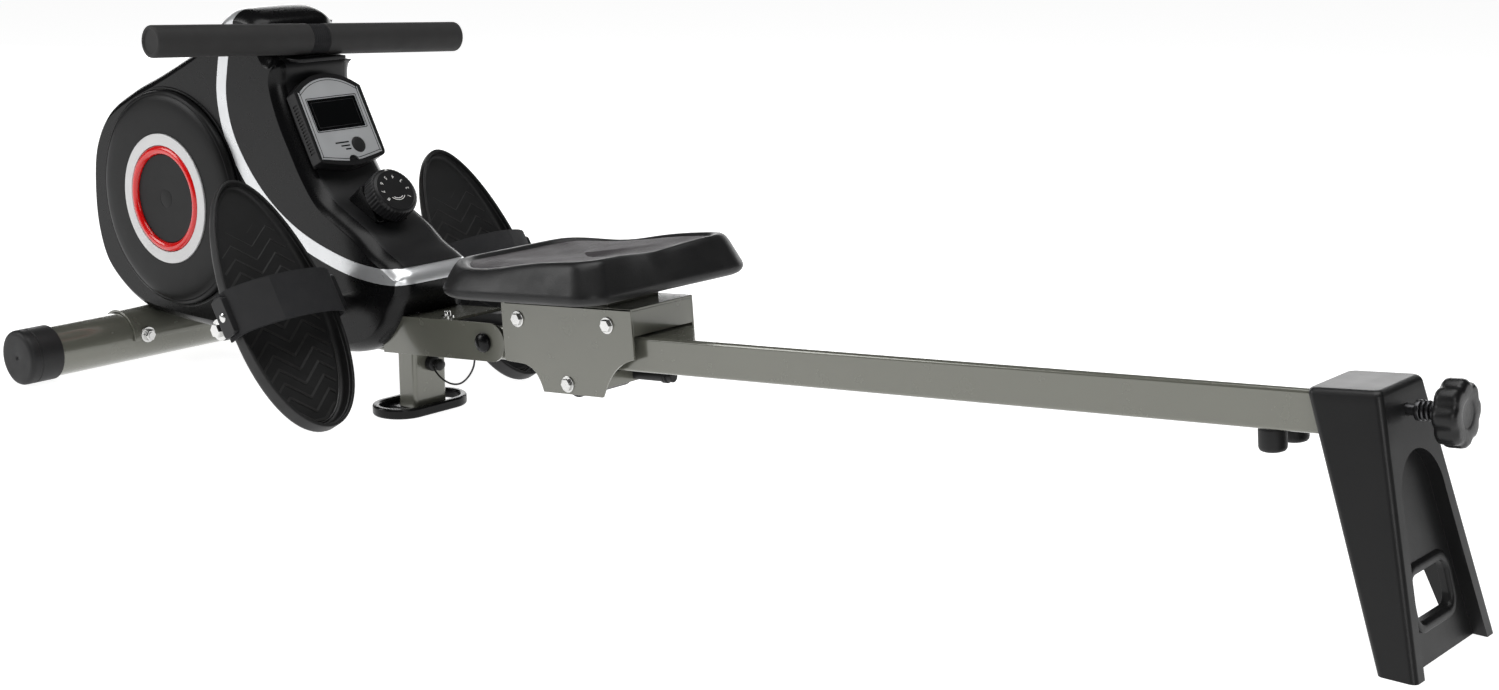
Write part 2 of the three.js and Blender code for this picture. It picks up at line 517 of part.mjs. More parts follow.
// ---- Works inside the casing ----
function works() {
  const { radius, rim, rimHalf, web, hub, hubHalf, pulley } = FLYWHEEL;
  const bore = AXLE_RADIUS + RUNNING;
  const wheel = turnedY(closedProfile([
    [bore, -hubHalf], [hub, -hubHalf], [hub, -web], [radius - rim, -web], [radius - rim, -rimHalf],
    [radius, -rimHalf], [radius, rimHalf], [radius - rim, rimHalf], [radius - rim, web], [hub, web],
    [hub, hubHalf], [pulley, hubHalf + 0.5], [pulley, BELT.outer + 1], [bore, BELT.outer + 1],
  ]), DISC.x, DISC.z, 28);
  piece("flywheel", wheel, CAST);
  piece("flywheel_axle", rodY(AXLE_RADIUS, -BEAM.halfWidth - 6, BEAM.halfWidth + 6, DISC.x, DISC.z, 20), ZINC);

  const inner = radius + MAGNET.gap;
  const outer = inner + MAGNET.thickness;
  const shell = prismY([
    ...arc(DISC.x, DISC.z, outer, MAGNET.start, MAGNET.end, 12),
    ...arc(DISC.x, DISC.z, inner, MAGNET.end, MAGNET.start, 12),
  ], -MAGNET.halfWidth, MAGNET.halfWidth);
  piece("magnet_bracket", shell, ZINC);

  const shaft = AXLE_RADIUS;
  const { x, z, drum, flange, wheel: beltWheel, halfDrum } = SPOOL;
  piece("spool_shaft", rodY(shaft, -BEAM.halfWidth - 3, BEAM.halfWidth + 3, x, z, 20), ZINC);
  const spool = turnedY(closedProfile([
    [shaft + RUNNING, -halfDrum - 2], [flange, -halfDrum - 2], [flange, -halfDrum], [drum, -halfDrum],
    [drum, halfDrum], [beltWheel, halfDrum], [beltWheel, BELT.outer + 1], [shaft + RUNNING, BELT.outer + 1],
  ]), x, z, 32);
  piece("strap_spool", spool, BLACK);
  const springEnd = -halfDrum - 2.5;
  piece("return_spring_case", turnedY(closedProfile([
    [shaft + RUNNING, springEnd - SPRING_CASE.thickness], [SPRING_CASE.radius, springEnd - SPRING_CASE.thickness],
    [SPRING_CASE.radius, springEnd], [shaft + RUNNING, springEnd],
  ]), x, z, 24), ZINC);

  const clear = TOUCH;
  const loop = (extra) => {
    const [r0, r1] = [pulley + clear + extra, beltWheel + clear + extra];
    const [dx, dz] = [x - DISC.x, z - DISC.z];
    const along = THREE.MathUtils.radToDeg(Math.atan2(dz, dx));
    const lean = THREE.MathUtils.radToDeg(Math.acos((r0 - r1) / Math.hypot(dx, dz)));
    return [
      ...arc(DISC.x, DISC.z, r0, along + lean, along + 360 - lean, 10),
      ...arc(x, z, r1, along - lean, along + lean, 20),
    ];
  };
  piece("drive_belt", prismY(loop(BELT.thickness), BELT.inner, BELT.outer, [loop(0)]), RUBBER);
}

// ---- Console and tension knob ----
function consoleOutline() {
  const { halfWidth, length } = CONSOLE;
  const rise = 20;
  const radius = (halfWidth ** 2 + rise ** 2) / (2 * rise);
  const half = THREE.MathUtils.radToDeg(Math.asin(halfWidth / radius));
  return [
    ...arc(radius - 6, 0, radius, 180 + half, 180 - half, 8),
    [length - 14, halfWidth], [length - 4, halfWidth - 22], [length, 0], [length - 4, 22 - halfWidth],
    [length - 14, -halfWidth],
  ];
}

// The block under the housing that fills the dip in the cover; reach widens it to cut its own room.
function pedestal(reach) {
  const { halfWidth, length, thickness, pedestal: drop } = CONSOLE;
  return box(
    24 - reach, length - 8 + reach, 4 - halfWidth - reach, halfWidth - 4 + reach,
    -thickness - drop - reach, -thickness + 1,
  );
}

function consoleUnit() {
  const frame = surfaceFrame(CONSOLE);
  const outline = consoleOutline();
  const face = inset(outline, 6);
  const hole = roundedBox(
    SCREEN.top - TOUCH, SCREEN.bottom + TOUCH, -SCREEN.halfWidth - TOUCH, SCREEN.halfWidth + TOUCH, 1.5, 2,
  );
  const button = circle(BUTTON.down, BUTTON.y, BUTTON.radius + RUNNING, 24);
  const seat = -CONSOLE.fascia - TOUCH;
  const housing = cut(
    join(prismZ(outline, -CONSOLE.thickness, -1), pedestal(0)),
    prismZ(inset(face, -TOUCH), seat, 1),
    prismZ(hole, seat - 3, 1),
    rodZ(BUTTON.radius + RUNNING, seat - 6, 1, BUTTON.down, BUTTON.y),
  );
  piece("console_housing", housing, BLACK, frame);
  piece("console_fascia", prismZ(face, -CONSOLE.fascia, 0, [hole, button]), SILVER, frame);
  const glass = roundedBox(SCREEN.top, SCREEN.bottom, -SCREEN.halfWidth, SCREEN.halfWidth, 1.5, 2);
  piece("console_screen", prismZ(glass, seat - 3 + TOUCH, -0.5), SCREEN_GLASS, frame);
  piece(
    "console_button",
    rodZ(BUTTON.radius, BUTTON.height - 6, BUTTON.height - 2, BUTTON.down, BUTTON.y),
    RUBBER, frame,
  );
}

function tensionKnob() {
  const frame = surfaceFrame(KNOB);
  const { length, width, thickness } = KNOB_BASE;
  const under = -KNOB.height - TOUCH;
  const base = cut(
    box(-length / 2, length / 2, -width / 2, width / 2, under - thickness, under),
    rodZ(KNOB.spindle + RUNNING, under - thickness - 1, under + 1, 0, 0, 16),
  );
  piece("tension_base", base, BLACK, frame);
  const lobes = 12;
  const grip = Array.from({ length: 48 }, (_, i) => {
    const angle = (i * Math.PI) / 24;
    const radius = KNOB.radius - 1.2 + 1.2 * Math.cos(lobes * angle);
    return [radius * Math.cos(angle), radius * Math.sin(angle)];
  });
  const top = grip.map(([a, b]) => [a * 0.94, b * 0.94]);
  const knob = join(
    prismZ(grip, -KNOB.height, -2),
    loft([grip.map(([a, b]) => [a, b, -2]), top.map(([a, b]) => [a, b, 0])]),
    rodZ(KNOB.spindle, under - thickness - 6, -KNOB.height + 1, 0, 0, 16),
  );
  piece("tension_knob", knob, BLACK, frame);
}

// ---- Handle, its rest, and the strap that runs over a roller to the spool ----
function handle() {
  const rest = cut(
    box(REST.x - REST.length / 2, REST.x + REST.length / 2, -REST.width / 2, REST.width / 2,
      REST.z, REST.z + REST.height),
    box(SLOT.x - SLOT.width / 2, SLOT.x + SLOT.width / 2, -SLOT.length / 2, SLOT.length / 2, 380, 420),
  );
  piece("handle_rest", rest, BLACK);

  const rollerX = SLOT.x - STRAP.thickness / 2 - TOUCH - ROLLER.radius;
  const rollerZ = REST.z - 4 - ROLLER.radius - 4;
  piece("strap_roller", turnedY(closedProfile([
    [ROLLER.bore, -13], [ROLLER.radius + 1.5, -13], [ROLLER.radius + 1.5, -11.6], [ROLLER.radius, -11.6],
    [ROLLER.radius, 11.6], [ROLLER.radius + 1.5, 11.6], [ROLLER.radius + 1.5, 13], [ROLLER.bore, 13],
  ]), rollerX, rollerZ, 20), ZINC);

  const tilted = new THREE.Group();
  tilted.position.set(HANDLE.x, HANDLE.y, HANDLE.z);
  tilted.rotation.set(-radians(HANDLE.tilt), 0, -radians(HANDLE.yaw));
  machine.add(tilted);
  const { tube, wall, grip, length } = HANDLE;
  const ring = (r0, r1, y0, y1) => turnedY(closedProfile([[r0, y0], [r1, y0], [r1, y1], [r0, y1]]), 0, 0, 24);
  const end = length / 2;
  piece("handle_bar", ring(tube - wall, tube, -end + 3, end - 3), ZINC, tilted);
  const strapHalf = STRAP.width / 2 + 0.5;
  const strapAt = -HANDLE.y;
  const gripOn = (name, inner, outer) => {
    const [low, high] = [Math.min(inner, outer), Math.max(inner, outer)];
    const closedEnd = Math.sign(outer);
    const sleeve = ring(tube + TOUCH, grip, low, high);
    const plug = rodY(grip - 2, closedEnd > 0 ? high - 2.6 : low, closedEnd > 0 ? high : low + 2.6);
    piece("grip_" + name, join(sleeve, plug), FOAM, tilted);
  };
  gripOn("left", strapAt - strapHalf - TOUCH, -end);
  gripOn("right", strapAt + strapHalf + TOUCH, end);
  piece(
    "strap_loop",
    ring(tube + TOUCH, grip - 0.6, strapAt - strapHalf, strapAt + strapHalf),
    WEBBING, tilted,
  );

  const half = STRAP.thickness / 2;
  const drumTop = [SPOOL.x + SPOOL.drum + half + TOUCH, SPOOL.z];
  const strapTop = HANDLE.z - HANDLE.grip - 1.5;
  const line = [[SLOT.x, strapTop], [SLOT.x, rollerZ - 2], drumTop];
  const outline = [
    [line[0][0] - half, line[0][1]], [line[1][0] - half, line[1][1]], [line[2][0] - half, line[2][1]],
    [line[2][0] + half, line[2][1]], [line[1][0] + half, line[1][1]], [line[0][0] + half, line[0][1]],
  ];
  piece("handle_strap", prismY(outline, -STRAP.width / 2, STRAP.width / 2), WEBBING);
}

// ---- Pedals: an egg-shaped tray with a boss that turns on the axle, and a strap over the foot ----
function pedalAxle() {
  const { x, z, radius, halfWidth, spacer, spacerEnd } = PEDAL_AXLE;
  const axle = rodY(radius, -halfWidth, halfWidth, x, z);
  const spacers = SIDES.map(([, side]) =>
    rodY(spacer, Math.min(side * 46, side * spacerEnd), Math.max(side * 46, side * spacerEnd), x, z),
  );
  piece("pedal_axle", join(axle, ...spacers), ZINC);
  for (const [name, side] of SIDES) {
    const washer = halfWidth + 1;
    const disc = [[0, washer], [12.5, washer], [12.5, washer + 2.5], [0, washer + 2.5]];
    const nut = rodY(8.5, Math.min(side * (washer + 2), side * (washer + 9)),
      Math.max(side * (washer + 2), side * (washer + 9)), x, z, 6);
    piece("pedal_nut_" + name, join(turnedY(disc.map(([r, y]) => [r, side * y]), x, z, 20), nut), BLACK);
  }
}

function pedal(name, side) {
  const { y, tilt, halfLength, halfWidth, egg, forward, rim, heelFloor, toeFloor, floor, wall, boss } = PEDAL;
  const frame = surfaceFrame({ x: PEDAL_AXLE.x, z: PEDAL_AXLE.z, tilt });
  const centre = side * y;
  const bossInner = centre - side * (halfWidth - 7);
  const bossOuter = centre + side * (halfWidth - 1);
  const ring = (shrink, height) =>
    Array.from({ length: 36 }, (_, i) => {
      const angle = (i * Math.PI) / 18;
      const along = Math.cos(angle);
      const down = (halfLength - shrink) * along;
      const across = (halfWidth - shrink) * Math.sin(angle) * (1 + egg * along);
      return [down - forward, centre + across, height(along)];
    });
  const level = (value) => () => value;
  const slanted = (offset) => (along) => offset + (heelFloor + toeFloor) / 2 + (along * (heelFloor - toeFloor)) / 2;
  const tray = cut(
    join(
      loft([ring(7, slanted(-floor)), ring(0, slanted(2 - floor)), ring(0, level(rim))]),
      rodY(boss, Math.min(bossInner, bossOuter), Math.max(bossInner, bossOuter)),
    ),
    loft([ring(wall + 5, slanted(0)), ring(wall, slanted(4)), ring(wall, level(rim + 1))]),
    rodY(PEDAL_AXLE.radius + RUNNING, centre - halfWidth - 5, centre + halfWidth + 5),
  );
  piece("footplate_" + name, tray, BLACK, frame);

  const { start, width, height, thickness, clearance } = PEDAL_STRAP;
  const arch = (extra) => {
    const reach = halfWidth + clearance + extra;
    return [
      [centre - reach, boss + 1.5],
      ...arc(0, 0, 1, 180, 0, 20).map(([c, s]) => [centre + reach * c, rim + (height + extra) * s]),
      [centre + reach, boss + 1.5],
    ];
  };
  const band = cut(prismX(arch(thickness), start - 10, start + width - 10), prismX(arch(0), start - 11, start + width));
  const lugs = [-1, 1].map((end) => {
    const inner = centre + end * (halfWidth + clearance + 0.5);
    const outer = inner + end * 8;
    return box(start - 6, start + width - 14, Math.min(inner, outer), Math.max(inner, outer), boss + 1.5, rim + 6);
  });
  piece("pedal_strap_" + name, join(band, ...lugs), RUBBER, frame);
}

// ---- Rail, its rubber pad and bumpers, and the rear leg ----
function rail() {
  const { front, rear, height, wall, endPlate } = RAIL;
  const h = height / 2;
  const tube = cut(
    prismX(roundedBox(-RAIL_HALF, RAIL_HALF, -h, h, 4, 3), front, rear),
    prismX(roundedBox(wall - RAIL_HALF, RAIL_HALF - wall, wall - h, h - wall, 2, 2), front + endPlate, rear + 1),
    rodY(PIN_RADIUS + RUNNING, -RAIL_HALF - 1, RAIL_HALF + 1),
  );
  piece("rail", tube, PAINT, sloped);

  const top = h + TOUCH;
  const wedge = [[front, top], [PAD.rear, top], [PAD.rear, top + PAD.height], [4, top + PAD.height], [front, top + 1.5]];
  piece("rail_pad", prismY(wedge, PAD.margin - RAIL_HALF, RAIL_HALF - PAD.margin), RUBBER, sloped);
  for (const [name, side] of SIDES)
    piece(
      "bumper_" + name,
      rodZ(BUMPER.radius, -top - BUMPER.height, -top, rear - BUMPER.fromEnd, side * BUMPER.y, 20),
      RUBBER, sloped,
    );
}

function rearLeg() {
  const { cheek, halfBottom, corner, rim, pocket, plate } = LEG;
  const halfTop = RAIL_HALF + cheek;
  const slope = radians(RAIL.slope);
  const [endX, endZ] = [RAIL.rear * Math.cos(slope), PIVOT_HEIGHT + RAIL.rear * Math.sin(slope)];
  const topFront = [endX + LEG.topFront[0], endZ + LEG.topFront[1]];
  const topRear = [endX + LEG.topRear[0], endZ + LEG.topRear[1]];
  const bottomFront = [endX + LEG.bottomFront, 0];
  const bottomRear = [endX + LEG.bottomRear, 0];
  const mix = (a, b, t) => a + (b - a) * t;
  const ring = (t) => {
    const [x0, z0] = [mix(bottomFront[0], topFront[0], t), mix(bottomFront[1], topFront[1], t)];
    const [x1, z1] = [mix(bottomRear[0], topRear[0], t), mix(bottomRear[1], topRear[1], t)];
    const half = mix(halfBottom, halfTop, t);
    return roundedBox(x0, x1, -half, half, corner, 3).map(([x, y]) => [x, y, mix(z0, z1, (x - x0) / (x1 - x0))]);
  };
  const topRing = ring(1);
  const crown = topRing.map(([x, y, z]) => [x + (x < endX ? 3 : -3), y * 0.93, z + 0.2]);
  const body = loft([ring(0), ring(0.5), ring(0.985), crown]);
  const rearAt = (z) => mix(bottomRear[0], topRear[0], z / topRear[1]);
  const frontAt = (z) => mix(bottomFront[0], topFront[0], z / topFront[1]);
  const halfAt = (z) => mix(halfBottom, halfTop, z / topRear[1]) - rim;
  const shape = [
    [-halfAt(-5), -5], [halfAt(-5), -5], [halfAt(130), 130],
    ...arc(0, 130, halfAt(130), 15, 165, 10), [-halfAt(130), 130],
  ];
  const recess = loft([
    shape.map(([y, z]) => [rearAt(z) - pocket, y, z]),
    shape.map(([y, z]) => [rearAt(z) + 30, y, z]),
  ]);
  const hollow = loft([
    shape.map(([y, z]) => [frontAt(z) - 30, y, z]),
    shape.map(([y, z]) => [rearAt(z) - pocket - plate, y, z]),
  ]);
  const { low, high, halfWidth, corner: holeCorner } = HAND_HOLE;
  const hole = prismX(roundedBox(-halfWidth, halfWidth, low, high, holeCorner, 4), endX - 40, endX + 160);
  const railRoom = prismX(
    roundedBox(-RAIL_HALF - TOUCH, RAIL_HALF + TOUCH, -RAIL.height / 2 - TOUCH, RAIL.height / 2 + TOUCH, 4, 3),
    RAIL.front, RAIL.rear + TOUCH,
  );
  const screwRoom = rodX(LEG_KNOB.screw + RUNNING, RAIL.rear - 1, RAIL.rear + 80);
  piece("rear_leg", cut(body, recess, hollow, hole, onSlope(railRoom), onSlope(screwRoom)), BLACK);

  const { screw, neck, radius, lobe, lobes, gap, thickness } = LEG_KNOB;
  const front = RAIL.rear + gap;
  const rear = front + thickness;
  const star = Array.from({ length: 48 }, (_, i) => {
    const angle = (i * Math.PI) / 24;
    const reach = radius - lobe + lobe * Math.cos(lobes * angle);
    return [reach * Math.cos(angle), reach * Math.sin(angle)];
  });
  const smaller = star.map(([a, b]) => [a * 0.9, b * 0.9]);
  const knob = join(
    rodX(screw, RAIL.rear + 1, front + 1),
    rodX(neck, front - 22, front + 1),
    loft([
      smaller.map(([a, b]) => [front, a, b]), star.map(([a, b]) => [front + 4, a, b]),
      star.map(([a, b]) => [rear - 4, a, b]), smaller.map(([a, b]) => [rear, a, b]),
    ]),
  );
  piece("leg_knob", knob, BLACK, sloped);
}

// ---- Carriage, its three rollers and the seat ----
const CARRIAGE_TOP = RAIL.height / 2 + CARRIAGE.above;

function carriage() {
  const { front, rear, side: sideGap, wall, upper, upperRadius, lower, lowerRadius, bolt } = CARRIAGE;
  const { bufferPlate, bufferEnd, bufferRadius, bufferDepth } = CARRIAGE;
  const top = CARRIAGE_TOP;
  const bottom = -RAIL.height / 2 - CARRIAGE.below;
  const bufferDrop = -RAIL.height / 2 - bufferDepth;
  const outside = RAIL_HALF + sideGap + wall;
  const upperHeight = RAIL.height / 2 + TOUCH + upperRadius;
  const lowerHeight = -RAIL.height / 2 - TOUCH - lowerRadius;
  const outline = [
    [front + 4, top], [front, top - 4], [front, bottom + 33], [front + 6, bottom + 29], [front + 34, bottom + 28],
    [front + 45, bottom + 22], [front + 52, bottom + 12], [front + 56, bottom], [rear - 50, bottom],
    [rear - 40, bottom + 17], [rear - 28, bottom + 31], [rear - 14, bottom + 41], [rear, bottom + 44], [rear, top],
  ];
  const inside = outside - wall;
  const plates = [-1, 1].map((side) =>
    prismY(outline, Math.min(side * inside, side * outside), Math.max(side * inside, side * outside)),
  );
  const axleAt = (s, h) => join(
    rodY(bolt, -outside, outside, s, h, 16),
    rodY(9, -outside - 5, -outside + 1, s, h, 6),
    rodY(9, outside - 1, outside + 5, s, h, 6),
  );
  piece("carriage", join(
    ...plates,
    box(front + 6, rear, -outside, outside, top - wall, top),
    box(rear - wall, rear, -inside - 1, inside + 1, RAIL.height / 2 + 1.5, top - 1),
    box(70, 194, -40, 40, top - 1, top + SEAT.lift - TOUCH),
    box(bufferPlate, bufferPlate + wall, -inside - 1, inside + 1, bottom + 10, bottom + 25),
    rodX(bufferRadius, bufferPlate + 1, bufferEnd, 0, bufferDrop, 16),
    rodX(bufferRadius + 1.4, bufferEnd - 14, bufferEnd - 8, 0, bufferDrop, 16),
    ...upper.map((s) => axleAt(s, upperHeight)),
    axleAt(lower, lowerHeight),
  ), PAINT, sloped);

  const roller = (name, s, h, radius) => {
    const bore = bolt + RUNNING;
    const hub = RAIL_HALF + sideGap - 4;
    const tread = RAIL_HALF - 2;
    const profile = closedProfile([
      [bore, -hub], [bore + 3, -hub], [bore + 3, -tread], [radius, -tread],
      [radius, tread], [bore + 3, tread], [bore + 3, hub], [bore, hub],
    ]);
    piece(name, turnedY(profile, s, h, 22), BLACK, sloped);
  };
  roller("upper_front_roller", upper[0], upperHeight, upperRadius);
  roller("upper_rear_roller", upper[1], upperHeight, upperRadius);
  roller("lower_roller", lower, lowerHeight, lowerRadius);
}

function seat() {
  const { front, rear, halfWidth, frontCorner, rearCorner } = SEAT;
  const bottom = CARRIAGE_TOP + SEAT.lift;
  const top = bottom + SEAT.thickness;
  const middle = (front + rear) / 2;
  const outline = [
    ...arc(rear - rearCorner, halfWidth - rearCorner, rearCorner, 0, 90, 5),
    ...arc(front + frontCorner, halfWidth - frontCorner, frontCorner, 90, 180, 8),
    ...arc(front + frontCorner, frontCorner - halfWidth, frontCorner, 180, 270, 8),
    ...arc(rear - rearCorner, rearCorner - halfWidth, rearCorner, 270, 360, 5),
  ];
  const ring = (scale, height, rise) =>
    outline.map(([s, y]) => [
      middle + (s - middle) * scale, y * scale, height + (rise * (s - middle)) / (rear - middle),
    ]);
  const pad = loft([
    ring(0.95, bottom, 0), ring(1, bottom + 8, 0), ring(0.93, top - 14, 3), ring(0.885, top - 3, 3.5),
    ring(0.85, top, 4), ring(0.74, top - 4, 3), ring(0.5, top - 8, 2),
  ]);
  piece("seat", pad, FOAM, sloped);
}

stabiliser();
mainFrame();
foldBracket();
middleSupport();
lanyard();
casing();
discs();
works();
consoleUnit();
tensionKnob();
handle();
pedalAxle();
for (const [name, side] of SIDES) pedal(name, side);
rail();
rearLeg();
carriage();
seat();

// The origin goes to the floor under the middle of the whole machine.
const extent = new THREE.Box3().setFromObject(machine, true);
machine.position.x = -(extent.min.x + extent.max.x) / 2;

export default machine;
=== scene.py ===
"""A folding magnetic rowing machine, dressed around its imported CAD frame.

Lengths are in millimetres and angles in degrees until a piece is made. Unless a piece says otherwise, x runs
from the fold pin towards the rear leg, y across (the rower's right is +y), and z up from the floor.
"""

import json
import math

import bmesh
import bpy
from mathutils import Matrix, Vector


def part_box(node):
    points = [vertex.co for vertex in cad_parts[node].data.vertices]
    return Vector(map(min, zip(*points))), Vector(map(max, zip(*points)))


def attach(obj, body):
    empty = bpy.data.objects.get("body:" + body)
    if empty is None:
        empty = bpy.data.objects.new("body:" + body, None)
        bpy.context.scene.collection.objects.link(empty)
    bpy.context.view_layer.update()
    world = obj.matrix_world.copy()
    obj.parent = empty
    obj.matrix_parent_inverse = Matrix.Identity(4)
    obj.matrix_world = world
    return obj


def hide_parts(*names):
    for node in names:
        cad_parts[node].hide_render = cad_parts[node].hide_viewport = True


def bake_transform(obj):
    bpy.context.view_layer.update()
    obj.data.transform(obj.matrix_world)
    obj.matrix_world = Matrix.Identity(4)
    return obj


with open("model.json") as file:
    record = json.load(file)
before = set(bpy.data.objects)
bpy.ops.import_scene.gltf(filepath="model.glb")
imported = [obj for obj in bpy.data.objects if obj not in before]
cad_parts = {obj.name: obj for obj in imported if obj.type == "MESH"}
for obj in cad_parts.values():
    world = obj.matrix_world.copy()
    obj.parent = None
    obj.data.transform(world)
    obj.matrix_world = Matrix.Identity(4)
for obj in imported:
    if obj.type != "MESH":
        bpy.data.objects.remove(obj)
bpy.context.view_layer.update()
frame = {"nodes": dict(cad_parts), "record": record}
MM = 0.001


def middle(node):
    """The middle of a CAD node's box, in metres."""
    low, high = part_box(node)
    return (low + high) / 2


def extent(node, axis, origin=0.0):
    """A CAD node's lowest and highest place along an axis, in millimetres from origin in metres."""
    low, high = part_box(node)
    return (low[axis] - origin) / MM, (high[axis] - origin) / MM


# ---- Places and sizes that the pieces share ----
PIN = middle("fold_pin")
RAIL_SLOPE = 5.09
GROUND = Matrix.Translation((PIN.x, 0, 0))


def place(name):
    """A CAD node's middle as (x from the fold pin, z from the floor)."""
    centre = middle(name)
    return (centre.x - PIN.x) / MM, centre.z / MM


def standing(x, z, tilt):
    """A frame whose z leaves a surface and whose x runs down it, at a place in the machine's own plane."""
    return GROUND @ Matrix.Translation((x * MM, 0, z * MM)) @ Matrix.Rotation(math.radians(tilt), 4, "Y")


SLOPE = standing(0, PIN.z / MM, -RAIL_SLOPE)  # x along the rail, z square to it, from the fold pin
DISC_X, DISC_Z = place("disc_cover_left")
CONSOLE = standing(-307, 378, 61.2)
KNOB = standing(-185, 257, 53.1)
AXLE_X, AXLE_Z = place("pedal_axle")
PEDAL = standing(AXLE_X, AXLE_Z, 58)
STAB_X, STAB_Z = place("stabiliser_tube")
SIDES = (("left", -1), ("right", 1))
RAIL_FRONT, RAIL_REAR, RAIL_HALF_WIDTH, RAIL_HALF_HEIGHT = -45, 1040, 38.1, 19.05  # in SLOPE
PLATE_Y, PLATE_HALF_LENGTH, PLATE_HALF_WIDTH, PLATE_FORWARD, PLATE_EGG = 157, 154, 69, 8, 0.12  # in PEDAL
CASING_HALF, CASING_WALL = 60, 3
TRIM_HALF, TRIM_GAP = 9, 0.35
ROLLERS = {"upper_front": (65, 31.35), "upper_rear": (199, 31.35), "lower": (134, -36.35)}  # in SLOPE


# ---- Materials ----
def node(tree, kind, **settings):
    made = tree.nodes.new(kind)
    for key, value in settings.items():
        if key in made.inputs:
            made.inputs[key].default_value = value
        else:
            setattr(made, key, value)
    return made


def noise_of(tree, where, scale, detail=3.0, stretch=(1, 1, 1)):
    """A noise factor that covers the object at a scale, in cells a metre."""
    mapping = node(tree, "ShaderNodeMapping")
    mapping.inputs["Scale"].default_value = stretch
    tree.links.new(where, mapping.inputs["Vector"])
    noise = node(tree, "ShaderNodeTexNoise", Scale=scale, Detail=detail)
    tree.links.new(mapping.outputs["Vector"], noise.inputs["Vector"])
    return noise.outputs["Fac"]


def ranged(tree, factor, low, high):
    spread = node(tree, "ShaderNodeMapRange")
    spread.inputs["From Min"].default_value = 0.3
    spread.inputs["From Max"].default_value = 0.7
    spread.inputs["To Min"].default_value = low
    spread.inputs["To Max"].default_value = high
    tree.links.new(factor, spread.inputs["Value"])
    return spread.outputs["Result"]


def material(name, color, roughness, metallic=0.0, shade=0.12, grain=(700, 0.05), rub=0.06, coat=0.0,
             extra=None, specular=0.3):
    """A surface whose colour and roughness drift a little; grain is (cells a metre, depth in mm)."""
    made = bpy.data.materials.new(name)
    made.use_nodes = True
    tree = made.node_tree
    shader = tree.nodes["Principled BSDF"]
    shader.inputs["Metallic"].default_value = metallic
    shader.inputs["Specular IOR Level"].default_value = specular
    shader.inputs["Coat Weight"].default_value = coat
    shader.inputs["Coat Roughness"].default_value = 0.12
    where = node(tree, "ShaderNodeTexCoord").outputs["Object"]
    drift = noise_of(tree, where, 14, 4)
    ramp = node(tree, "ShaderNodeMix", data_type="RGBA")
    ramp.inputs[6].default_value = [c * (1 - shade) for c in color] + [1]
    ramp.inputs[7].default_value = [min(1, c * (1 + shade)) for c in color] + [1]
    tree.links.new(drift, ramp.inputs[0])
    tree.links.new(ramp.outputs[2], shader.inputs["Base Color"])
    smudge = noise_of(tree, where, 45, 5)
    tree.links.new(ranged(tree, smudge, max(0.02, roughness - rub), roughness + rub),
                   shader.inputs["Roughness"])
    height = extra(tree, where) if extra else noise_of(tree, where, grain[0], 2)
    bump = node(tree, "ShaderNodeBump", Strength=0.6, Distance=grain[1] * MM)
    tree.links.new(height, bump.inputs["Height"])
    tree.links.new(bump.outputs["Normal"], shader.inputs["Normal"])
    return made


def leather_cells(tree, where):
    """Rounded pebbles of moulded skin."""
    cells = node(tree, "ShaderNodeTexVoronoi", Scale=620, feature="SMOOTH_F1")
    tree.links.new(where, cells.inputs["Vector"])
    return cells.outputs["Distance"]


def weave(per_metre, slant=0.0):
    """Crossed ribs, so many to the metre, turned by a slant in degrees."""
    def pattern(tree, where):
        turned = node(tree, "ShaderNodeMapping")
        turned.inputs["Rotation"].default_value = (0, 0, math.radians(slant))
        tree.links.new(where, turned.inputs["Vector"])
        total = None
        for direction in ("X", "Y"):
            ribs = node(tree, "ShaderNodeTexWave", Scale=per_metre / 10, bands_direction=direction)
            tree.links.new(turned.outputs["Vector"], ribs.inputs["Vector"])
            if total is None:
                total = ribs.outputs["Fac"]
            else:
                both = node(tree, "ShaderNodeMath", operation="MULTIPLY")
                tree.links.new(total, both.inputs[0])
                tree.links.new(ribs.outputs["Fac"], both.inputs[1])
                total = both.outputs["Value"]
        return total
    return pattern


def brushed(tree, where):
    """Long fine scratches along x."""
    return noise_of(tree, where, 900, 2, stretch=(0.03, 1, 1))


PAINT = material("frame_paint", (0.140, 0.141, 0.117), 0.26, 0.35, shade=0.02, grain=(300, 0.003), rub=0.02,
                 coat=1.0)
GLOSS_BLACK = material("gloss_black", (0.003, 0.003, 0.0033), 0.27, grain=(900, 0.002), rub=0.012,
                       specular=0.2)
SATIN_BLACK = material("satin_black", (0.0065, 0.0065, 0.007), 0.40, grain=(1500, 0.01), rub=0.02)
LEG_BLACK = material("leg_black", (0.011, 0.011, 0.0113), 0.38, grain=(2200, 0.012), rub=0.02)
DISC_BLACK = material("disc_black", (0.0025, 0.0025, 0.0027), 0.40, grain=(1700, 0.006), rub=0.02,
                      specular=0.2)
CAP_BLACK = material("cap_black", (0.011, 0.011, 0.0115), 0.52, grain=(1300, 0.03))
CAST_PLASTIC = material("star_knob_black", (0.009, 0.009, 0.0093), 0.36, grain=(900, 0.15),
                        extra=leather_cells)
FOAM = material("grip_foam", (0.022, 0.0215, 0.0215), 0.66, grain=(2600, 0.06), rub=0.06)
SEAT_SKIN = material("seat_skin", (0.0095, 0.0095, 0.0098), 0.42, grain=(620, 0.12), extra=leather_cells)
SEAT_TEXTURE = material("seat_insert", (0.050, 0.045, 0.048), 0.62, grain=(620, 0.35), extra=weave(2600, 45))
RUBBER = material("rubber", (0.010, 0.010, 0.0102), 0.50, grain=(1500, 0.02))
# The tread is given twice the tray rubber's colour: a painted highlight on the raised ribs; its lower
# roughness and higher specular are the rubber's own sheen.
TREAD_PAINTED_HIGHLIGHT = material("tread_rubber_painted_highlight", (0.020, 0.020, 0.0195), 0.36, grain=(1200, 0.02), specular=0.5)
WEBBING = material("webbing", (0.0165, 0.0165, 0.018), 0.8, grain=(600, 0.35), extra=weave(4200))
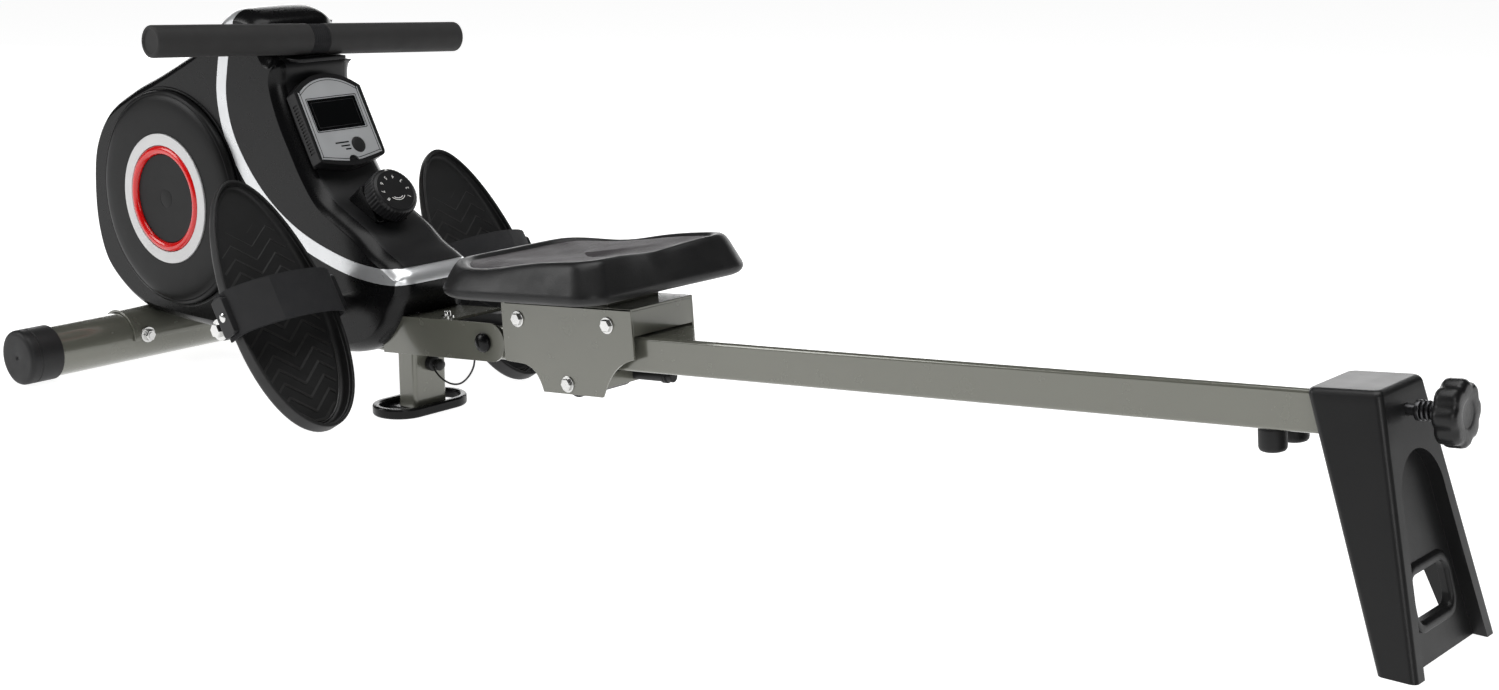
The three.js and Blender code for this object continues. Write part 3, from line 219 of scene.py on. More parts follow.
VELCRO = material("velcro_loop", (0.028, 0.028, 0.029), 0.95, grain=(2400, 0.5), rub=0.04)
CORD = material("cord", (0.012, 0.012, 0.012), 0.6, grain=(3000, 0.1))
SILVER = material("silver_trim", (0.70, 0.71, 0.72), 0.30, 0.7, shade=0.03, grain=(900, 0.006), rub=0.04,
                  extra=brushed)
FASCIA = material("silver_fascia", (0.52, 0.53, 0.54), 0.42, 0.55, shade=0.04, grain=(2600, 0.02))
PEARL = material("pearl_ring", (0.60, 0.60, 0.60), 0.38, 0.25, shade=0.04, grain=(2400, 0.01))
RED = material("red_ring", (0.62, 0.004, 0.004), 0.22, shade=0.05, grain=(1500, 0.01), coat=0.6)
GLASS = material("display_window", (0.0025, 0.0028, 0.003), 0.08, shade=0.05, grain=(300, 0.004), rub=0.02)
ZINC = material("zinc_plate", (0.62, 0.62, 0.61), 0.24, 1.0, shade=0.08, grain=(1100, 0.03))
DARK_STEEL = material("dark_steel", (0.075, 0.075, 0.078), 0.36, 0.9, grain=(1200, 0.03))
PRINT = material("dial_print", (0.82, 0.82, 0.80), 0.6, shade=0.03, grain=(1500, 0.01))
CAST_IRON = material("cast_iron", (0.06, 0.06, 0.062), 0.5, 0.8, grain=(800, 0.1))
CAD_LOOKS = {
    "frame_paint": PAINT, "black_plastic": SATIN_BLACK, "silver_plastic": SILVER, "white_ring": PEARL,
    "red_ring": RED, "foam": FOAM, "seat_pad": SEAT_SKIN, "black_rubber": RUBBER, "webbing": WEBBING,
    "screen": GLASS, "zinc": ZINC, "cast": CAST_IRON,
}
SLOT_OF = {look.name: key for key, look in CAD_LOOKS.items()}
SLOT_OF.update({
    "gloss_black": "black_plastic", "leg_black": "black_plastic", "disc_black": "black_plastic",
    "cap_black": "black_plastic", "star_knob_black": "black_plastic", "seat_insert": "seat_pad",
    "tread_rubber_painted_highlight": "black_plastic", "velcro_loop": "webbing", "cord": "webbing",
    "silver_fascia": "silver_plastic", "dark_steel": "zinc", "dial_print": "silver_plastic",
})


# ---- Shapes: each is (points, faces), in millimetres ----
def arc(u, v, radius, start, end, steps):
    """Points on an arc about (u, v), from one angle to another."""
    angles = [math.radians(start + (end - start) * i / steps) for i in range(steps + 1)]
    return [(u + radius * math.cos(a), v + radius * math.sin(a)) for a in angles]


def circle(u, v, radius, steps=48):
    return arc(u, v, radius, 0, 360 - 360 / steps, steps - 1)


def rounded(u0, u1, v0, v1, radius, steps=6):
    """A rectangle's outline with round corners; radius is one value, or one for each end of u."""
    first, last = radius if isinstance(radius, tuple) else (radius, radius)
    return (
        arc(u1 - last, v1 - last, last, 0, 90, steps) + arc(u0 + first, v1 - first, first, 90, 180, steps)
        + arc(u0 + first, v0 + first, first, 180, 270, steps)
        + arc(u1 - last, v0 + last, last, 270, 360, steps) )


def at(axis, level, outline):
    """Puts a flat outline, (x, z) for Y, (x, y) for Z or (y, z) for X, at a level along an axis."""
    if axis == "Y":
        return [(u, level, v) for u, v in outline]
    if axis == "Z":
        return [(u, v, level) for u, v in outline]
    return [(level, u, v) for u, v in outline]


def loft(rings, caps=True, looped=False):
    """A skin through rings of equal point counts, with flat caps, or joined end to end."""
    count = len(rings[0])
    points = [p for ring in rings for p in ring]
    faces = []
    for r in range(len(rings) if looped else len(rings) - 1):
        a, b = r * count, ((r + 1) % len(rings)) * count
        faces += [(a + i, a + (i + 1) % count, b + (i + 1) % count, b + i) for i in range(count)]
    if caps and not looped:
        faces.append(tuple(range(count))[::-1])
        faces.append(tuple(range(len(points) - count, len(points))))
    return points, faces


def prism(outline, low, high, axis="Y"):
    return loft([at(axis, low, outline), at(axis, high, outline)])


def ring_prism(outer, inner, low, high, axis="Z"):
    """A flat loop with a hole, from two outlines of equal point counts."""
    return loft([at(axis, low, outer), at(axis, high, outer), at(axis, high, inner), at(axis, low, inner)],
                looped=True)


def turned(profile, axis="Y", u=0, v=0, sides=72, looped=False):
    """Turns (radius, level) points about a line along an axis; a looped profile makes a ring."""
    rings = [at(axis, level, circle(u, v, max(radius, 1e-4), sides)) for radius, level in profile]
    return loft(rings, caps=False, looped=looped)


def cylinder(radius, low, high, axis="Y", u=0, v=0, sides=72):
    return turned([(0, low), (radius, low), (radius, high), (0, high)], axis, u, v, sides)


def block(x0, x1, y0, y1, z0, z1):
    return prism([(x0, y0), (x1, y0), (x1, y1), (x0, y1)], z0, z1, "Z")


def both(*shapes):
    """Several shapes as one."""
    points, faces = [], []
    for more_points, more_faces in shapes:
        start = len(points)
        points += more_points
        faces += [tuple(start + i for i in face) for face in more_faces]
    return points, faces


def hexagon(u, v, across, turn=0):
    return [(u + across / math.sqrt(3) * math.cos(math.radians(60 * i + turn)),
             v + across / math.sqrt(3) * math.sin(math.radians(60 * i + turn))) for i in range(6)]


def hex_bolt(axis, u, v, face, outward, across=13, height=5.5, washer=8.5, thick=1.6):
    """A bolt head on its washer; outward is +1 or -1 along the axis from the face."""
    top = face + outward * (thick + height)
    base = face + outward * thick
    bevel = [
        at(axis, base, hexagon(u, v, across)), at(axis, top - outward * 1.0, hexagon(u, v, across)),
        at(axis, top, hexagon(u, v, across * 0.86)),
    ]
    disc = [(0, face), (washer, face), (washer, base - outward * 0.3), (washer - 0.4, base), (0, base)]
    return both(loft(bevel), turned(disc, axis, u, v, 36))


def smooth_curve(control, samples, closed=False):
    """Points along a centripetal spline through control points of any dimension."""
    control = [Vector(p) for p in control]
    count = len(control)
    def knot(i):
        return control[i % count] if closed else control[min(max(i, 0), count - 1)]
    spans = count if closed else count - 1
    out = []
    for n in range(samples):
        t = n * spans / (samples if closed else samples - 1)
        i = min(int(t), spans - 1)
        t -= i
        p0, p1, p2, p3 = knot(i - 1), knot(i), knot(i + 1), knot(i + 2)
        if not closed and i == 0:
            p0 = 2 * p1 - p2
        if not closed and i == spans - 1:
            p3 = 2 * p2 - p1
        d1, d2, d3 = ((b - a).length ** 0.5 for a, b in ((p0, p1), (p1, p2), (p2, p3)))
        m1 = (p1 - p0) / d1 - (p2 - p0) / (d1 + d2) + (p2 - p1) / d2
        m2 = (p2 - p1) / d2 - (p3 - p1) / (d2 + d3) + (p3 - p2) / d3
        m1, m2 = m1 * d2, m2 * d2
        out.append(tuple(p1 + m1 * t + (3 * (p2 - p1) - 2 * m1 - m2) * t ** 2
                         + (2 * (p1 - p2) + m1 + m2) * t ** 3))
    return out


def swept(path, section, flat=None):
    """A section of (side, up) points carried along a path; flat fixes the side direction of a ribbon."""
    path = [Vector(p) for p in path]
    rings = []
    side = Vector(flat) if flat else Vector((0, 1, 0))
    for i, here in enumerate(path):
        along = (path[min(i + 1, len(path) - 1)] - path[max(i - 1, 0)]).normalized()
        side = (side - side.dot(along) * along).normalized()
        up = along.cross(side)
        rings.append([tuple(here + side * s + up * u) for s, u in section])
    return loft(rings)


def inset(points, distance):
    """Moves a closed outline inwards, and less at a corner that is too tight for it."""
    count = len(points)
    area = sum(points[i - 1][0] * points[i][1] - points[i][0] * points[i - 1][1] for i in range(count))
    turn = 1 if area > 0 else -1
    allowed = []
    for i, (u, v) in enumerate(points):
        (u0, v0), (u1, v1) = points[i - 1], points[(i + 1) % count]
        before, after = (u - u0, v - v0), (u1 - u, v1 - v)
        bend = turn * math.atan2(before[0] * after[1] - before[1] * after[0],
                                 before[0] * after[0] + before[1] * after[1])
        radius = (math.hypot(*before) + math.hypot(*after)) / 2 / max(bend, 1e-6)
        allowed.append(distance if distance < 5 else min(distance, radius * 0.6))
    for _ in range(6):
        allowed = [min(a, (allowed[i - 1] + a + allowed[(i + 1) % count]) / 3) for i, a in enumerate(allowed)]
    out = []
    for i, (u, v) in enumerate(points):
        (u0, v0), (u1, v1) = points[i - 1], points[(i + 1) % count]
        move = turn * allowed[i] / math.hypot(u1 - u0, v1 - v0)
        out.append((u - move * (v1 - v0), v + move * (u1 - u0)))
    return out


# ---- Making pieces ----
def mesh_object(name, shape, where=GROUND, sharp=40):
    points, faces = shape
    mesh = bpy.data.meshes.new(name)
    mesh.from_pydata([(x * MM, y * MM, z * MM) for x, y, z in points], [], faces)
    build = bmesh.new()
    build.from_mesh(mesh)
    bmesh.ops.remove_doubles(build, verts=build.verts, dist=2e-6)
    bmesh.ops.recalc_face_normals(build, faces=build.faces)
    build.to_mesh(mesh)
    build.free()
    made = bpy.data.objects.new(name, mesh)
    made.matrix_world = where
    bpy.context.scene.collection.objects.link(made)
    finish_shading(made, sharp)
    return made


def finish_shading(obj, sharp=40):
    obj.data.shade_smooth()
    obj.data.set_sharp_from_angle(angle=math.radians(sharp))


def evaluated_mesh(obj):
    bpy.context.view_layer.update()
    graph = bpy.context.evaluated_depsgraph_get()
    return bpy.data.meshes.new_from_object(obj.evaluated_get(graph))


def baked(obj):
    """Applies the object's modifiers to its mesh."""
    mesh = evaluated_mesh(obj)
    obj.modifiers.clear()
    obj.data = mesh


def carved(obj, *shapes, operation="DIFFERENCE", where=None):
    """Cuts shapes out of an object, or keeps only what lies in them."""
    for shape in shapes:
        tool = shape if isinstance(shape, bpy.types.Object) else mesh_object("tool", shape, where or GROUND)
        step = obj.modifiers.new("cut", "BOOLEAN")
        step.operation = operation
        step.solver = "EXACT"
        step.object = tool
        baked(obj)
        bpy.data.objects.remove(tool)
    return obj


def cleaned(obj):
    """Merges the slivers that a cut leaves."""
    build = bmesh.new()
    build.from_mesh(obj.data)
    bmesh.ops.remove_doubles(build, verts=build.verts, dist=3e-5)
    bmesh.ops.dissolve_degenerate(build, edges=build.edges, dist=3e-5)
    build.to_mesh(obj.data)
    build.free()


def copy_of(obj, name):
    made = obj.copy()
    made.data = obj.data.copy()
    made.name = name
    bpy.context.scene.collection.objects.link(made)
    return made


def dress(obj, look, body, replaces=(), edge=0.0, segments=3, sharp=40):
    """Gives an object its material, its softened edges, and its place on a body."""
    obj.data.materials.clear()
    obj.data.materials.append(look)
    cleaned(obj)
    if edge:
        bevel = obj.modifiers.new("edge", "BEVEL")
        bevel.width = edge * MM
        bevel.segments = segments
        bevel.limit_method = "ANGLE"
        bevel.angle_limit = math.radians(32)
        baked(obj)
    finish_shading(obj, sharp)
    even = obj.modifiers.new("even", "WEIGHTED_NORMAL")
    even.keep_sharp = True
    even.weight = 90
    baked(obj)
    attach(obj, body)
    if replaces:
        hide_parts(*replaces)
    return obj


def piece(name, shape, look, body, where=GROUND, replaces=(), edge=0.0, segments=3, sharp=40):
    return dress(mesh_object(name, shape, where, sharp), look, body, replaces, edge, segments, sharp)


# ---- Front stabiliser ----
def stabiliser():
    low, high = extent("stabiliser_tube", 1)
    radius = (extent("stabiliser_tube", 2)[1] - extent("stabiliser_tube", 2)[0]) / 2
    bore = radius - 2
    tube = turned([(bore, low), (radius, low), (radius, high), (bore, high)], "Y", STAB_X, STAB_Z, 96,
                  looped=True)
    piece("tube", tube, PAINT, "frame", replaces=["stabiliser_tube"], edge=0.4)
    for name, side in SIDES:
        inner, outer = sorted(map(abs, extent("stabiliser_cap_" + name, 1)))
        cap = [
            (0, outer - 2.2), (1.6, outer - 2.0), (2.6, outer - 0.9), (3.8, outer - 0.3), (12, outer - 0.1),
            (27, outer), (30.6, outer - 0.5), (32.8, outer - 1.9), (33.8, outer - 4.2), (34, outer - 7),
            (34, outer - 13), (33.4, outer - 13.6), (33.4, outer - 15.4), (34, outer - 16), (34, inner + 1.2),
            (33.2, inner), (radius + 0.3, inner), (radius + 0.3, outer - 3), (0, outer - 3),
        ]
        profile = [(r, side * y) for r, y in cap]
        piece("cap_" + name, turned(profile, "Y", STAB_X, STAB_Z, 96), CAP_BLACK, "frame",
              replaces=["stabiliser_cap_" + name])


# ---- Main frame: beam, uprights and the saddle that holds the stabiliser ----
def main_frame():
    front, rear = -640, -171.9
    beam = ring_prism(rounded(-30, 30, 70, 100, 4), rounded(-27, 27, 73, 97, 2), front, rear, "X")
    piece("beam", beam, PAINT, "frame", replaces=["main_frame"])
    piece("beam_end", prism(rounded(-27, 27, 73, 97, 2), front, front + 3, "X"), PAINT, "frame")
    for label, (x, z) in (("wheel", (DISC_X, DISC_Z)), ("spool", place("strap_spool"))):
        outline = [(x - 24, 99.5), (x + 24, 99.5)] + arc(x, z, 16, 0, 180, 24)
        for name, side in SIDES:
            plate = mesh_object("plate", prism(outline, *sorted((side * 26, side * 30))))
            carved(plate, turned([(6.4, -40), (6.4, 40), (0, 40), (0, -40)], "Y", x, z, 32, looped=True))
            dress(plate, PAINT, "frame", edge=0.5).name = f"{label}_upright_{name}"
    inner, outer = 32.25, 35.45
    half = arc(STAB_X, STAB_Z, outer, 0, 180, 48) + arc(STAB_X, STAB_Z, inner, 180, 0, 48)
    piece("saddle", prism(half, -95, 95), PAINT, "frame", edge=0.6)
    neck = mesh_object("neck", block(STAB_X - 20, STAB_X + 20, -30, 30, 56, 70.5))
    carved(neck, cylinder(outer - 0.5, -40, 40, "Y", STAB_X, STAB_Z, 64))
    dress(neck, PAINT, "frame", edge=1)
    for name, side in SIDES:
        y, z = side * 76, STAB_Z + 6
        head = [
            (0, STAB_X - outer - 4.6), (3.5, STAB_X - outer - 4.4), (7, STAB_X - outer - 3.4),
            (9, STAB_X - outer - 1.6), (9.2, STAB_X - outer - 0.6), (9.2, STAB_X - outer + 1.2),
            (0, STAB_X - outer + 1.2), ]
        shank = cylinder(4, STAB_X - 32, STAB_X + outer + 9, "X", y, z, 24)
        nut = hex_bolt("X", y, z, STAB_X + outer - 1.2, 1, across=13, height=6.5, washer=10, thick=2.4)
        bolt = both(turned(head, "X", y, z, 40), shank, nut)
        piece("saddle_bolt_" + name, bolt, ZINC, "frame")


# ---- Fold bracket, pivot, post and foot ----
def fold_bracket():
    rear, below, above, inner, outer = 32, 21.5, 22.5, 38.6, 41.6
    end, centre = (below + above) / 2, (above - below) / 2
    outline = [(-171, -below), (rear - end, -below)] + arc(rear - end, centre, end, -84, 84,
        36) + [(-171, above)]
    body = mesh_object("bracket", prism(outline, -outer, outer), SLOPE)
    carved(body, block(-172, 40, -inner, inner, 3 - below, above - 3), where=SLOPE)
    carved(body, block(-58, 40, -inner, inner, -below - 1, above + 1), where=SLOPE)
    carved(body, cylinder(8.3, -60, 60, "Y", 0, 0, 48), where=SLOPE)
    dress(body, PAINT, "frame", replaces=["fold_bracket"], edge=1.1)
    piece("pin", turned([(0, -41.5), (7, -41.5), (8, -40.6), (8, 40.6), (7, 41.5), (0, 41.5)], "Y"), ZINC,
          "frame", where=SLOPE, replaces=["fold_pin"])
    for name, side in SIDES:
        base = 41.9
        dome = [(11 * c, base + 2.2 + 5.8 * s) for c, s in arc(0, 0, 1, 0, 88, 12)]
        profile = [(0, base), (10.6, base), (11, base + 0.6)] + dome + [(0, base + 8)]
        piece("pivot_dome_" + name, turned([(r, side * y) for r, y in profile], "Y", 0, 0, 48), GLOSS_BLACK,
              "frame", where=SLOPE, replaces=["pivot_cap_" + name])
    latch = turned([(0, 22.3), (7.5, 22.3), (7.5, 23.8), (7, 24.2), (4.2, 24.2), (4.2, 28.4), (3.4, 29.4),
                    (0, 29.8)], "Z", -74, -26, 36)
    piece("latch_bolt", latch, ZINC, "frame", where=SLOPE)


def middle_support():
    low, high = extent("middle_post", 2)
    post_x, _ = place("middle_post")
    outer = rounded(post_x - 15, post_x + 15, -25, 25, 5, 10)
    inner = rounded(post_x - 12.5, post_x + 12.5, -22.5, 22.5, 2.6, 10)
    post = mesh_object("post", ring_prism(outer, inner, low, high))
    _, pin_z = place("lock_pin")
    carved(post, cylinder(4.5, post_x - 20, post_x + 20, "X", 0, pin_z, 32))
    dress(post, PAINT, "frame", replaces=["middle_post"], edge=0.4)

    foot_x, _ = place("foot_ring")
    def stadium(radius):
        return arc(foot_x, 28.5, radius, 0, 180, 32) + arc(foot_x, -28.5, radius, 180, 360, 32)
    ring = mesh_object("foot", ring_prism(stadium(34), stadium(26), 0, 12))
    dress(ring, GLOSS_BLACK, "frame", replaces=["foot_ring"], edge=2.6, segments=5)
    web = mesh_object("web", block(foot_x - 27, foot_x + 27, -28, 28, 0.4, 6))
    for side in (-1, 1):
        for x in (foot_x - 18, foot_x + 20):
            carved(web, cylinder(2.6, -2, 8, "Z", x, side * 20, 20))
    dress(web, GLOSS_BLACK, "frame", edge=0.8)

    face = post_x + 15.3
    profile = [
        (0, post_x - 21), (3, post_x - 21), (4, post_x - 20), (4, face), (8.6, face), (9, face + 0.5),
        (9, face + 7.2), (8.4, face + 8), (4.9, face + 9.2), (4.5, face + 10.2), (5.2, face + 12),
        (6.7, face + 14), (7, face + 15.5), (6.9, face + 17.4), (5.8, face + 19), (3.4, face + 19.8),
        (0, face + 20), ]
    piece("parking_knob", turned(profile, "X", 0, pin_z, 48), SATIN_BLACK, "parking_pin",
          replaces=["lock_pin"])


LANYARD_ROUTE = [
    (-121, -9.2, 57.2), (-117.5, -10.4, 54.6), (-112.5, -12, 52), (-106, -14, 49.6), (-98, -16.6, 47.8),
    (-89, -19.4, 46.8), (-80, -22, 46.6), (-71, -24.6, 47.4), (-62, -27.2, 49.2), (-53, -29.8, 52.2),
    (-44.5, -32.2, 56.6), (-36.5, -34.6, 62), (-29.5, -36.6, 68), (-24, -38.2, 74), (-20, -39.4, 80),
    (-18, -40, 86), ]


def lanyard():
    """The thin cord between the lock pin's grip and the left cheek, swept as a tube along a fixed route."""
    path = smooth_curve(LANYARD_ROUTE, 90)
    tube = mesh_object("lanyard_cord", swept(path, circle(0, 0, 1.1, 12), flat=(0, 1, 0)))
    tube.data.materials.append(CORD)
    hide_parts("lanyard")
    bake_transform(tube)


# ---- Casing ----
CASING_OUTLINE = smooth_curve([
    (-405, 457), (-374, 456), (-352, 446), (-345, 428), (-338, 408), (-321, 397), (-321, 372), (-309, 338),
    (-290, 304), (-270, 272), (-248, 247), (-218, 231), (-186, 215), (-160, 197), (-133, 184), (-114, 170),
    (-113, 150), (-128, 127), (-142, 105), (-163, 84), (-195, 70), (-240, 63), (-330, 59), (-440, 58),
    (-560, 60), (-612, 66), (-652, 84), (-689, 116), (-706, 160), (-709, 215), (-699, 271), (-668, 315),
    (-615, 346), (-560, 369), (-515, 389), (-470, 411), (-436, 438),
], 260, closed=True)
TRIM_LINE = smooth_curve([
    (-397, 480), (-405, 440), (-418, 395), (-424, 352), (-411, 302), (-364, 242), (-300, 200), (-215, 174),
    (-150, 168), (-90, 173),
], 90)
# (half width, how far in the outline has moved) from the middle to the flat side
SECTION = [
    (0, 0), (24, 0.15), (38, 0.7), (43, 1.2), (47, 2.3), (50.5, 4.0), (53.5, 6.0), (56.2, 8.4), (58.4, 11.2),
    (59.6, 13), (60, 14),
]


def beside_trim(offset):
    out = []
    for i, (x, z) in enumerate(TRIM_LINE):
        (x0, z0), (x1, z1) = TRIM_LINE[max(i - 1, 0)], TRIM_LINE[min(i + 1, len(TRIM_LINE) - 1)]
        length = math.hypot(x1 - x0, z1 - z0)
        out.append((x - offset * (z1 - z0) / length, z + offset * (x1 - x0) / length))
    return out


def casing_skin():
    levels = [(-y, move) for y, move in SECTION[:0:-1]] + SECTION
    outside = mesh_object("skin", loft([at("Y", y, inset(CASING_OUTLINE, move)) for y, move in levels]))
    thinner = [(y * (CASING_HALF - CASING_WALL) / CASING_HALF, move + CASING_WALL) for y, move in levels]
    return carved(outside, loft([at("Y", y, inset(CASING_OUTLINE, move)) for y, move in thinner]))


def two_tone(obj, look, half_width, upto):
    """Gives the faces of the front between the creases, forward of x, a second surface."""
    obj.data.materials.append(look)
    for face in obj.data.polygons:
        x, y, _ = face.center / MM
        if abs(y) < half_width and abs(face.normal.y) < 0.25 and x > upto:
            face.material_index = 1


def console_outline():
    radius = 72.5
    half = math.degrees(math.asin(50 / radius))
    return arc(radius - 6, 0, radius, 180 + half, 180 - half, 30) + [
        (98, 50), (101.5, 49), (104, 46), (108, 28), (111, 12), (112, 0), (111, -12), (108, -28), (104, -46),
        (101.5, -49), (98, -50)]


def casing():
    skin = casing_skin()
    carved(skin, block(-174, -90, -42.6, 42.6, -36.5, 23.5), where=SLOPE)
    carved(skin, block(-641, -171, -31, 31, 69, 101))
    carved(skin, block(STAB_X - 21, STAB_X + 21, -31, 31, 0, 100))
    carved(skin, cylinder(36.45, -65, 65, "Y", STAB_X, STAB_Z, 72))
    carved(skin, cylinder(13, -65, 65, "Y", AXLE_X, AXLE_Z, 48))
    carved(skin, block(-328.5, -322.5, -14, 14, 375, 420))
    carved(skin, prism(inset(console_outline(), -0.3), -16.3, 30, "Z"), where=CONSOLE)
    carved(skin, block(23.7, 104.3, -46.3, 46.3, -24.3, -15), where=CONSOLE)
    carved(skin, block(-25.3, 25.3, -23.3, 23.3, -55, 30), where=KNOB)
    carved(skin, cylinder(32, -20.3, 30, "Z", 0, 0, 72), where=KNOB)
    carved(skin, cylinder(5, -90, 0, "Z", 0, 0, 24), where=KNOB)
    carved(skin, block(-337.3, -302.7, -35.3, 35.3, 398.2, 430))

    band = copy_of(skin, "trim")
    carved(band, prism(beside_trim(TRIM_HALF) + beside_trim(-TRIM_HALF)[::-1], -65, 65),
           operation="INTERSECT")
    dress(band, SILVER, "frame", replaces=["trim_band"])

    cover = copy_of(skin, "cover")
    carved(cover, prism(beside_trim(TRIM_HALF + TRIM_GAP) + [(-60, 600), (-380, 600)], -65, 65),
           operation="INTERSECT")
    dress(cover, GLOSS_BLACK, "frame", replaces=["console_cover"])
    two_tone(cover, SATIN_BLACK, 43.2, -340)

    plug = [(4.2 * c, 4.2 * s) for c, s in arc(0, 0, 1, 90, -90, 12)]
    spot = GROUND @ Matrix.Translation((-0.2698, -0.0482, 0.2588))
    piece("cover_plug", turned(plug, "Y", 0, 0, 24), GLASS, "frame", where=spot)

    carved(skin, prism(beside_trim(-TRIM_HALF - TRIM_GAP) + [(-60, 600), (-380, 600)], -65, 65))
    right = copy_of(skin, "casing_right_shell")
    for half, name, span in ((skin, "left", (-65, -0.15)), (right, "right", (0.15, 65))):
        carved(half, block(-800, 0, *span, 0, 600), operation="INTERSECT")
        dress(half, GLOSS_BLACK, "frame", replaces=["casing_" + name])
        half.name = f"casing_{name}_shell"


# ---- The round covers on the casing's sides ----
def discs():
    base, face, seat = 60.3, 73.3, 69.3
    cover = [
        (0, base), (131.4, base), (133, base + 1.4), (133, base + 5.4), (132, base + 7.8),
        (129.6, base + 9.6),
        (128.6, base + 9.7), (128.0, base + 9.2), (127.4, base + 9.8), (124.5, base + 11.2),
        (120, base + 12.1),
        (112, base + 12.7), (100, face - 0.1), (84, face), (81.4, face), (81, face - 0.5), (81, seat),
        (55, seat),
        (55, seat + 2.4), (54.4, seat + 3), (12, seat + 2.6), (11.4, seat + 2.3), (10.8, seat + 2.6),
        (0, seat + 2.7), ]
    white = [
        (66.2, seat + 0.3), (80.7, seat + 0.3), (80.7, seat + 5.2), (80.4, seat + 5.7), (79.6, seat + 6),
        (67.3, seat + 6), (66.5, seat + 5.7), (66.2, seat + 5.2),
    ]
    bulge = [(60.6 + 5.3 * c, seat + 3.2 + 4.3 * s) for c, s in arc(0, 0, 1, 0, 180, 16)]
    red = [(55.3, seat + 0.3), (65.9, seat + 0.3)] + bulge
    for name, side in SIDES:
        def ring(label, profile, look, looped=True):
            placed = [(r, side * y) for r, y in profile]
            piece(f"{label}_ring_{name}", turned(placed, "Y", DISC_X, DISC_Z, 160, looped), look, "frame",
                  replaces=[f"{label}_{name}"], sharp=28)
        ring("disc_cover", cover, DISC_BLACK, False)
        ring("white_ring", white, PEARL)
        ring("red_ring", red, RED)
        lip = [(134, 59.4), (137.4, 59.4), (137.4, 60.6), (136.6, 61.5), (134.8, 61.5), (134, 60.6)]
        low = mesh_object("lip", turned([(r, side * y) for r, y in lip], "Y", DISC_X, DISC_Z, 160, True))
        carved(low, prism(inset(CASING_OUTLINE, 15), -70, 70), operation="INTERSECT")
        dress(low, GLOSS_BLACK, "frame", sharp=28).name = "disc_seam_" + name


# ---- Console ----
def console():
    outline = console_outline()
    face = inset(outline, 6)
    housing = mesh_object("housing", prism(outline, -16, 0, "Z"), CONSOLE)
    carved(housing, prism(inset(face, -0.3), -2.3, 2, "Z"), where=CONSOLE)
    carved(housing, prism(rounded(25.2, 65.3, -36.3, 36.3, 1.5), -5.3, 2, "Z"), where=CONSOLE)
    carved(housing, cylinder(10, -8.3, 2, "Z", 87.4, 14.7, 48), where=CONSOLE)
    for side in (-1, 1):
        grooves = [block(x, x + 2, *sorted((side * 48.8, side * 52)), -11.5, -3.5) for x in range(28, 92, 4)]
        carved(housing, both(*grooves), where=CONSOLE)
    dress(housing, SATIN_BLACK, "frame", replaces=["console_housing"], edge=0.7)
    piece("console_pedestal", block(24.4, 103.6, -45.6, 45.6, -23.6, -16), SATIN_BLACK, "frame",
          where=CONSOLE, edge=0.8)

    fascia = mesh_object("fascia", prism(face, -2, 0, "Z"), CONSOLE)
    carved(fascia, prism(rounded(25.2, 65.3, -36.3, 36.3, 1.5), -3, 2, "Z"), where=CONSOLE)
    carved(fascia, cylinder(10, -3, 2, "Z", 87.4, 14.7, 48), where=CONSOLE)
    carved(fascia, prism(circle(106, 0, 7, 32), -3, 2, "Z"), where=CONSOLE)
    dress(fascia, FASCIA, "frame", replaces=["console_fascia"], edge=0.3)
    border = ring_prism(inset(face, 2.2), inset(face, 3.0), -0.1, 0.12)
    piece("fascia_border", border, SATIN_BLACK, "frame", where=CONSOLE)
    marks = [block(x - 0.9, x + 0.9, 1.5 - wide, 1.5, -0.1, 0.14)
             for x, wide in ((82.4, 20), (86.8, 13), (91.2, 8))]
    frame_line = ring_prism(rounded(23.4, 67.1, -38.1, 38.1, 2), rounded(24.3, 66.2, -37.2, 37.2, 1.8),
                            -0.1, 0.14)
    piece("fascia_marks", both(frame_line, *marks), SATIN_BLACK, "frame", where=CONSOLE)

    piece("screen_glass", prism(rounded(25.5, 65, -36, 36, 1.5), -5, -0.5, "Z"), GLASS, "frame",
          where=CONSOLE, replaces=["console_screen"], edge=0.4)
    line = ring_prism(rounded(29, 61.5, -32, 32, 1), rounded(29.5, 61, -31.5, 31.5, 0.8), -0.6, -0.44)
    piece("screen_frame", line, DARK_STEEL, "frame", where=CONSOLE)
    cap = [(0, -3), (9.3, -3), (9.4, -2.5), (9.4, 0), (8.8, 0.6), (6, 0.85), (0, 0.9)]
    bumps = []
    for row in range(-4, 5):
        for column in range(-4, 5):
            x, y = 1.9 * column + 0.95 * (row % 2), 1.65 * row
            if math.hypot(x, y) < 7.6:
                bumps.append(turned([(0.55, 0.75), (0.4, 0.98), (0, 1.0)], "Z", 87.4 + x, 14.7 + y, 8))
    piece("mode_cap", both(turned(cap, "Z", 87.4, 14.7, 48), *bumps), RUBBER, "mode_button", where=CONSOLE,
          replaces=["console_button"])


# ---- Tension knob ----
def lettered(text, size, where, lift):
    """Raised text as a mesh, its middle at where's origin."""
    curve = bpy.data.curves.new("text", "FONT")
    curve.body = text
    curve.size = size * MM
    curve.align_x = "CENTER"
    curve.align_y = "CENTER"
    curve.extrude = lift * MM
    made = bpy.data.objects.new("text", curve)
    bpy.context.scene.collection.objects.link(made)
    made.matrix_world = where
    mesh = evaluated_mesh(made)
    bpy.data.objects.remove(made)
    out = bpy.data.objects.new("text_" + text, mesh)
    out.matrix_world = where
    bpy.context.scene.collection.objects.link(out)
    return out


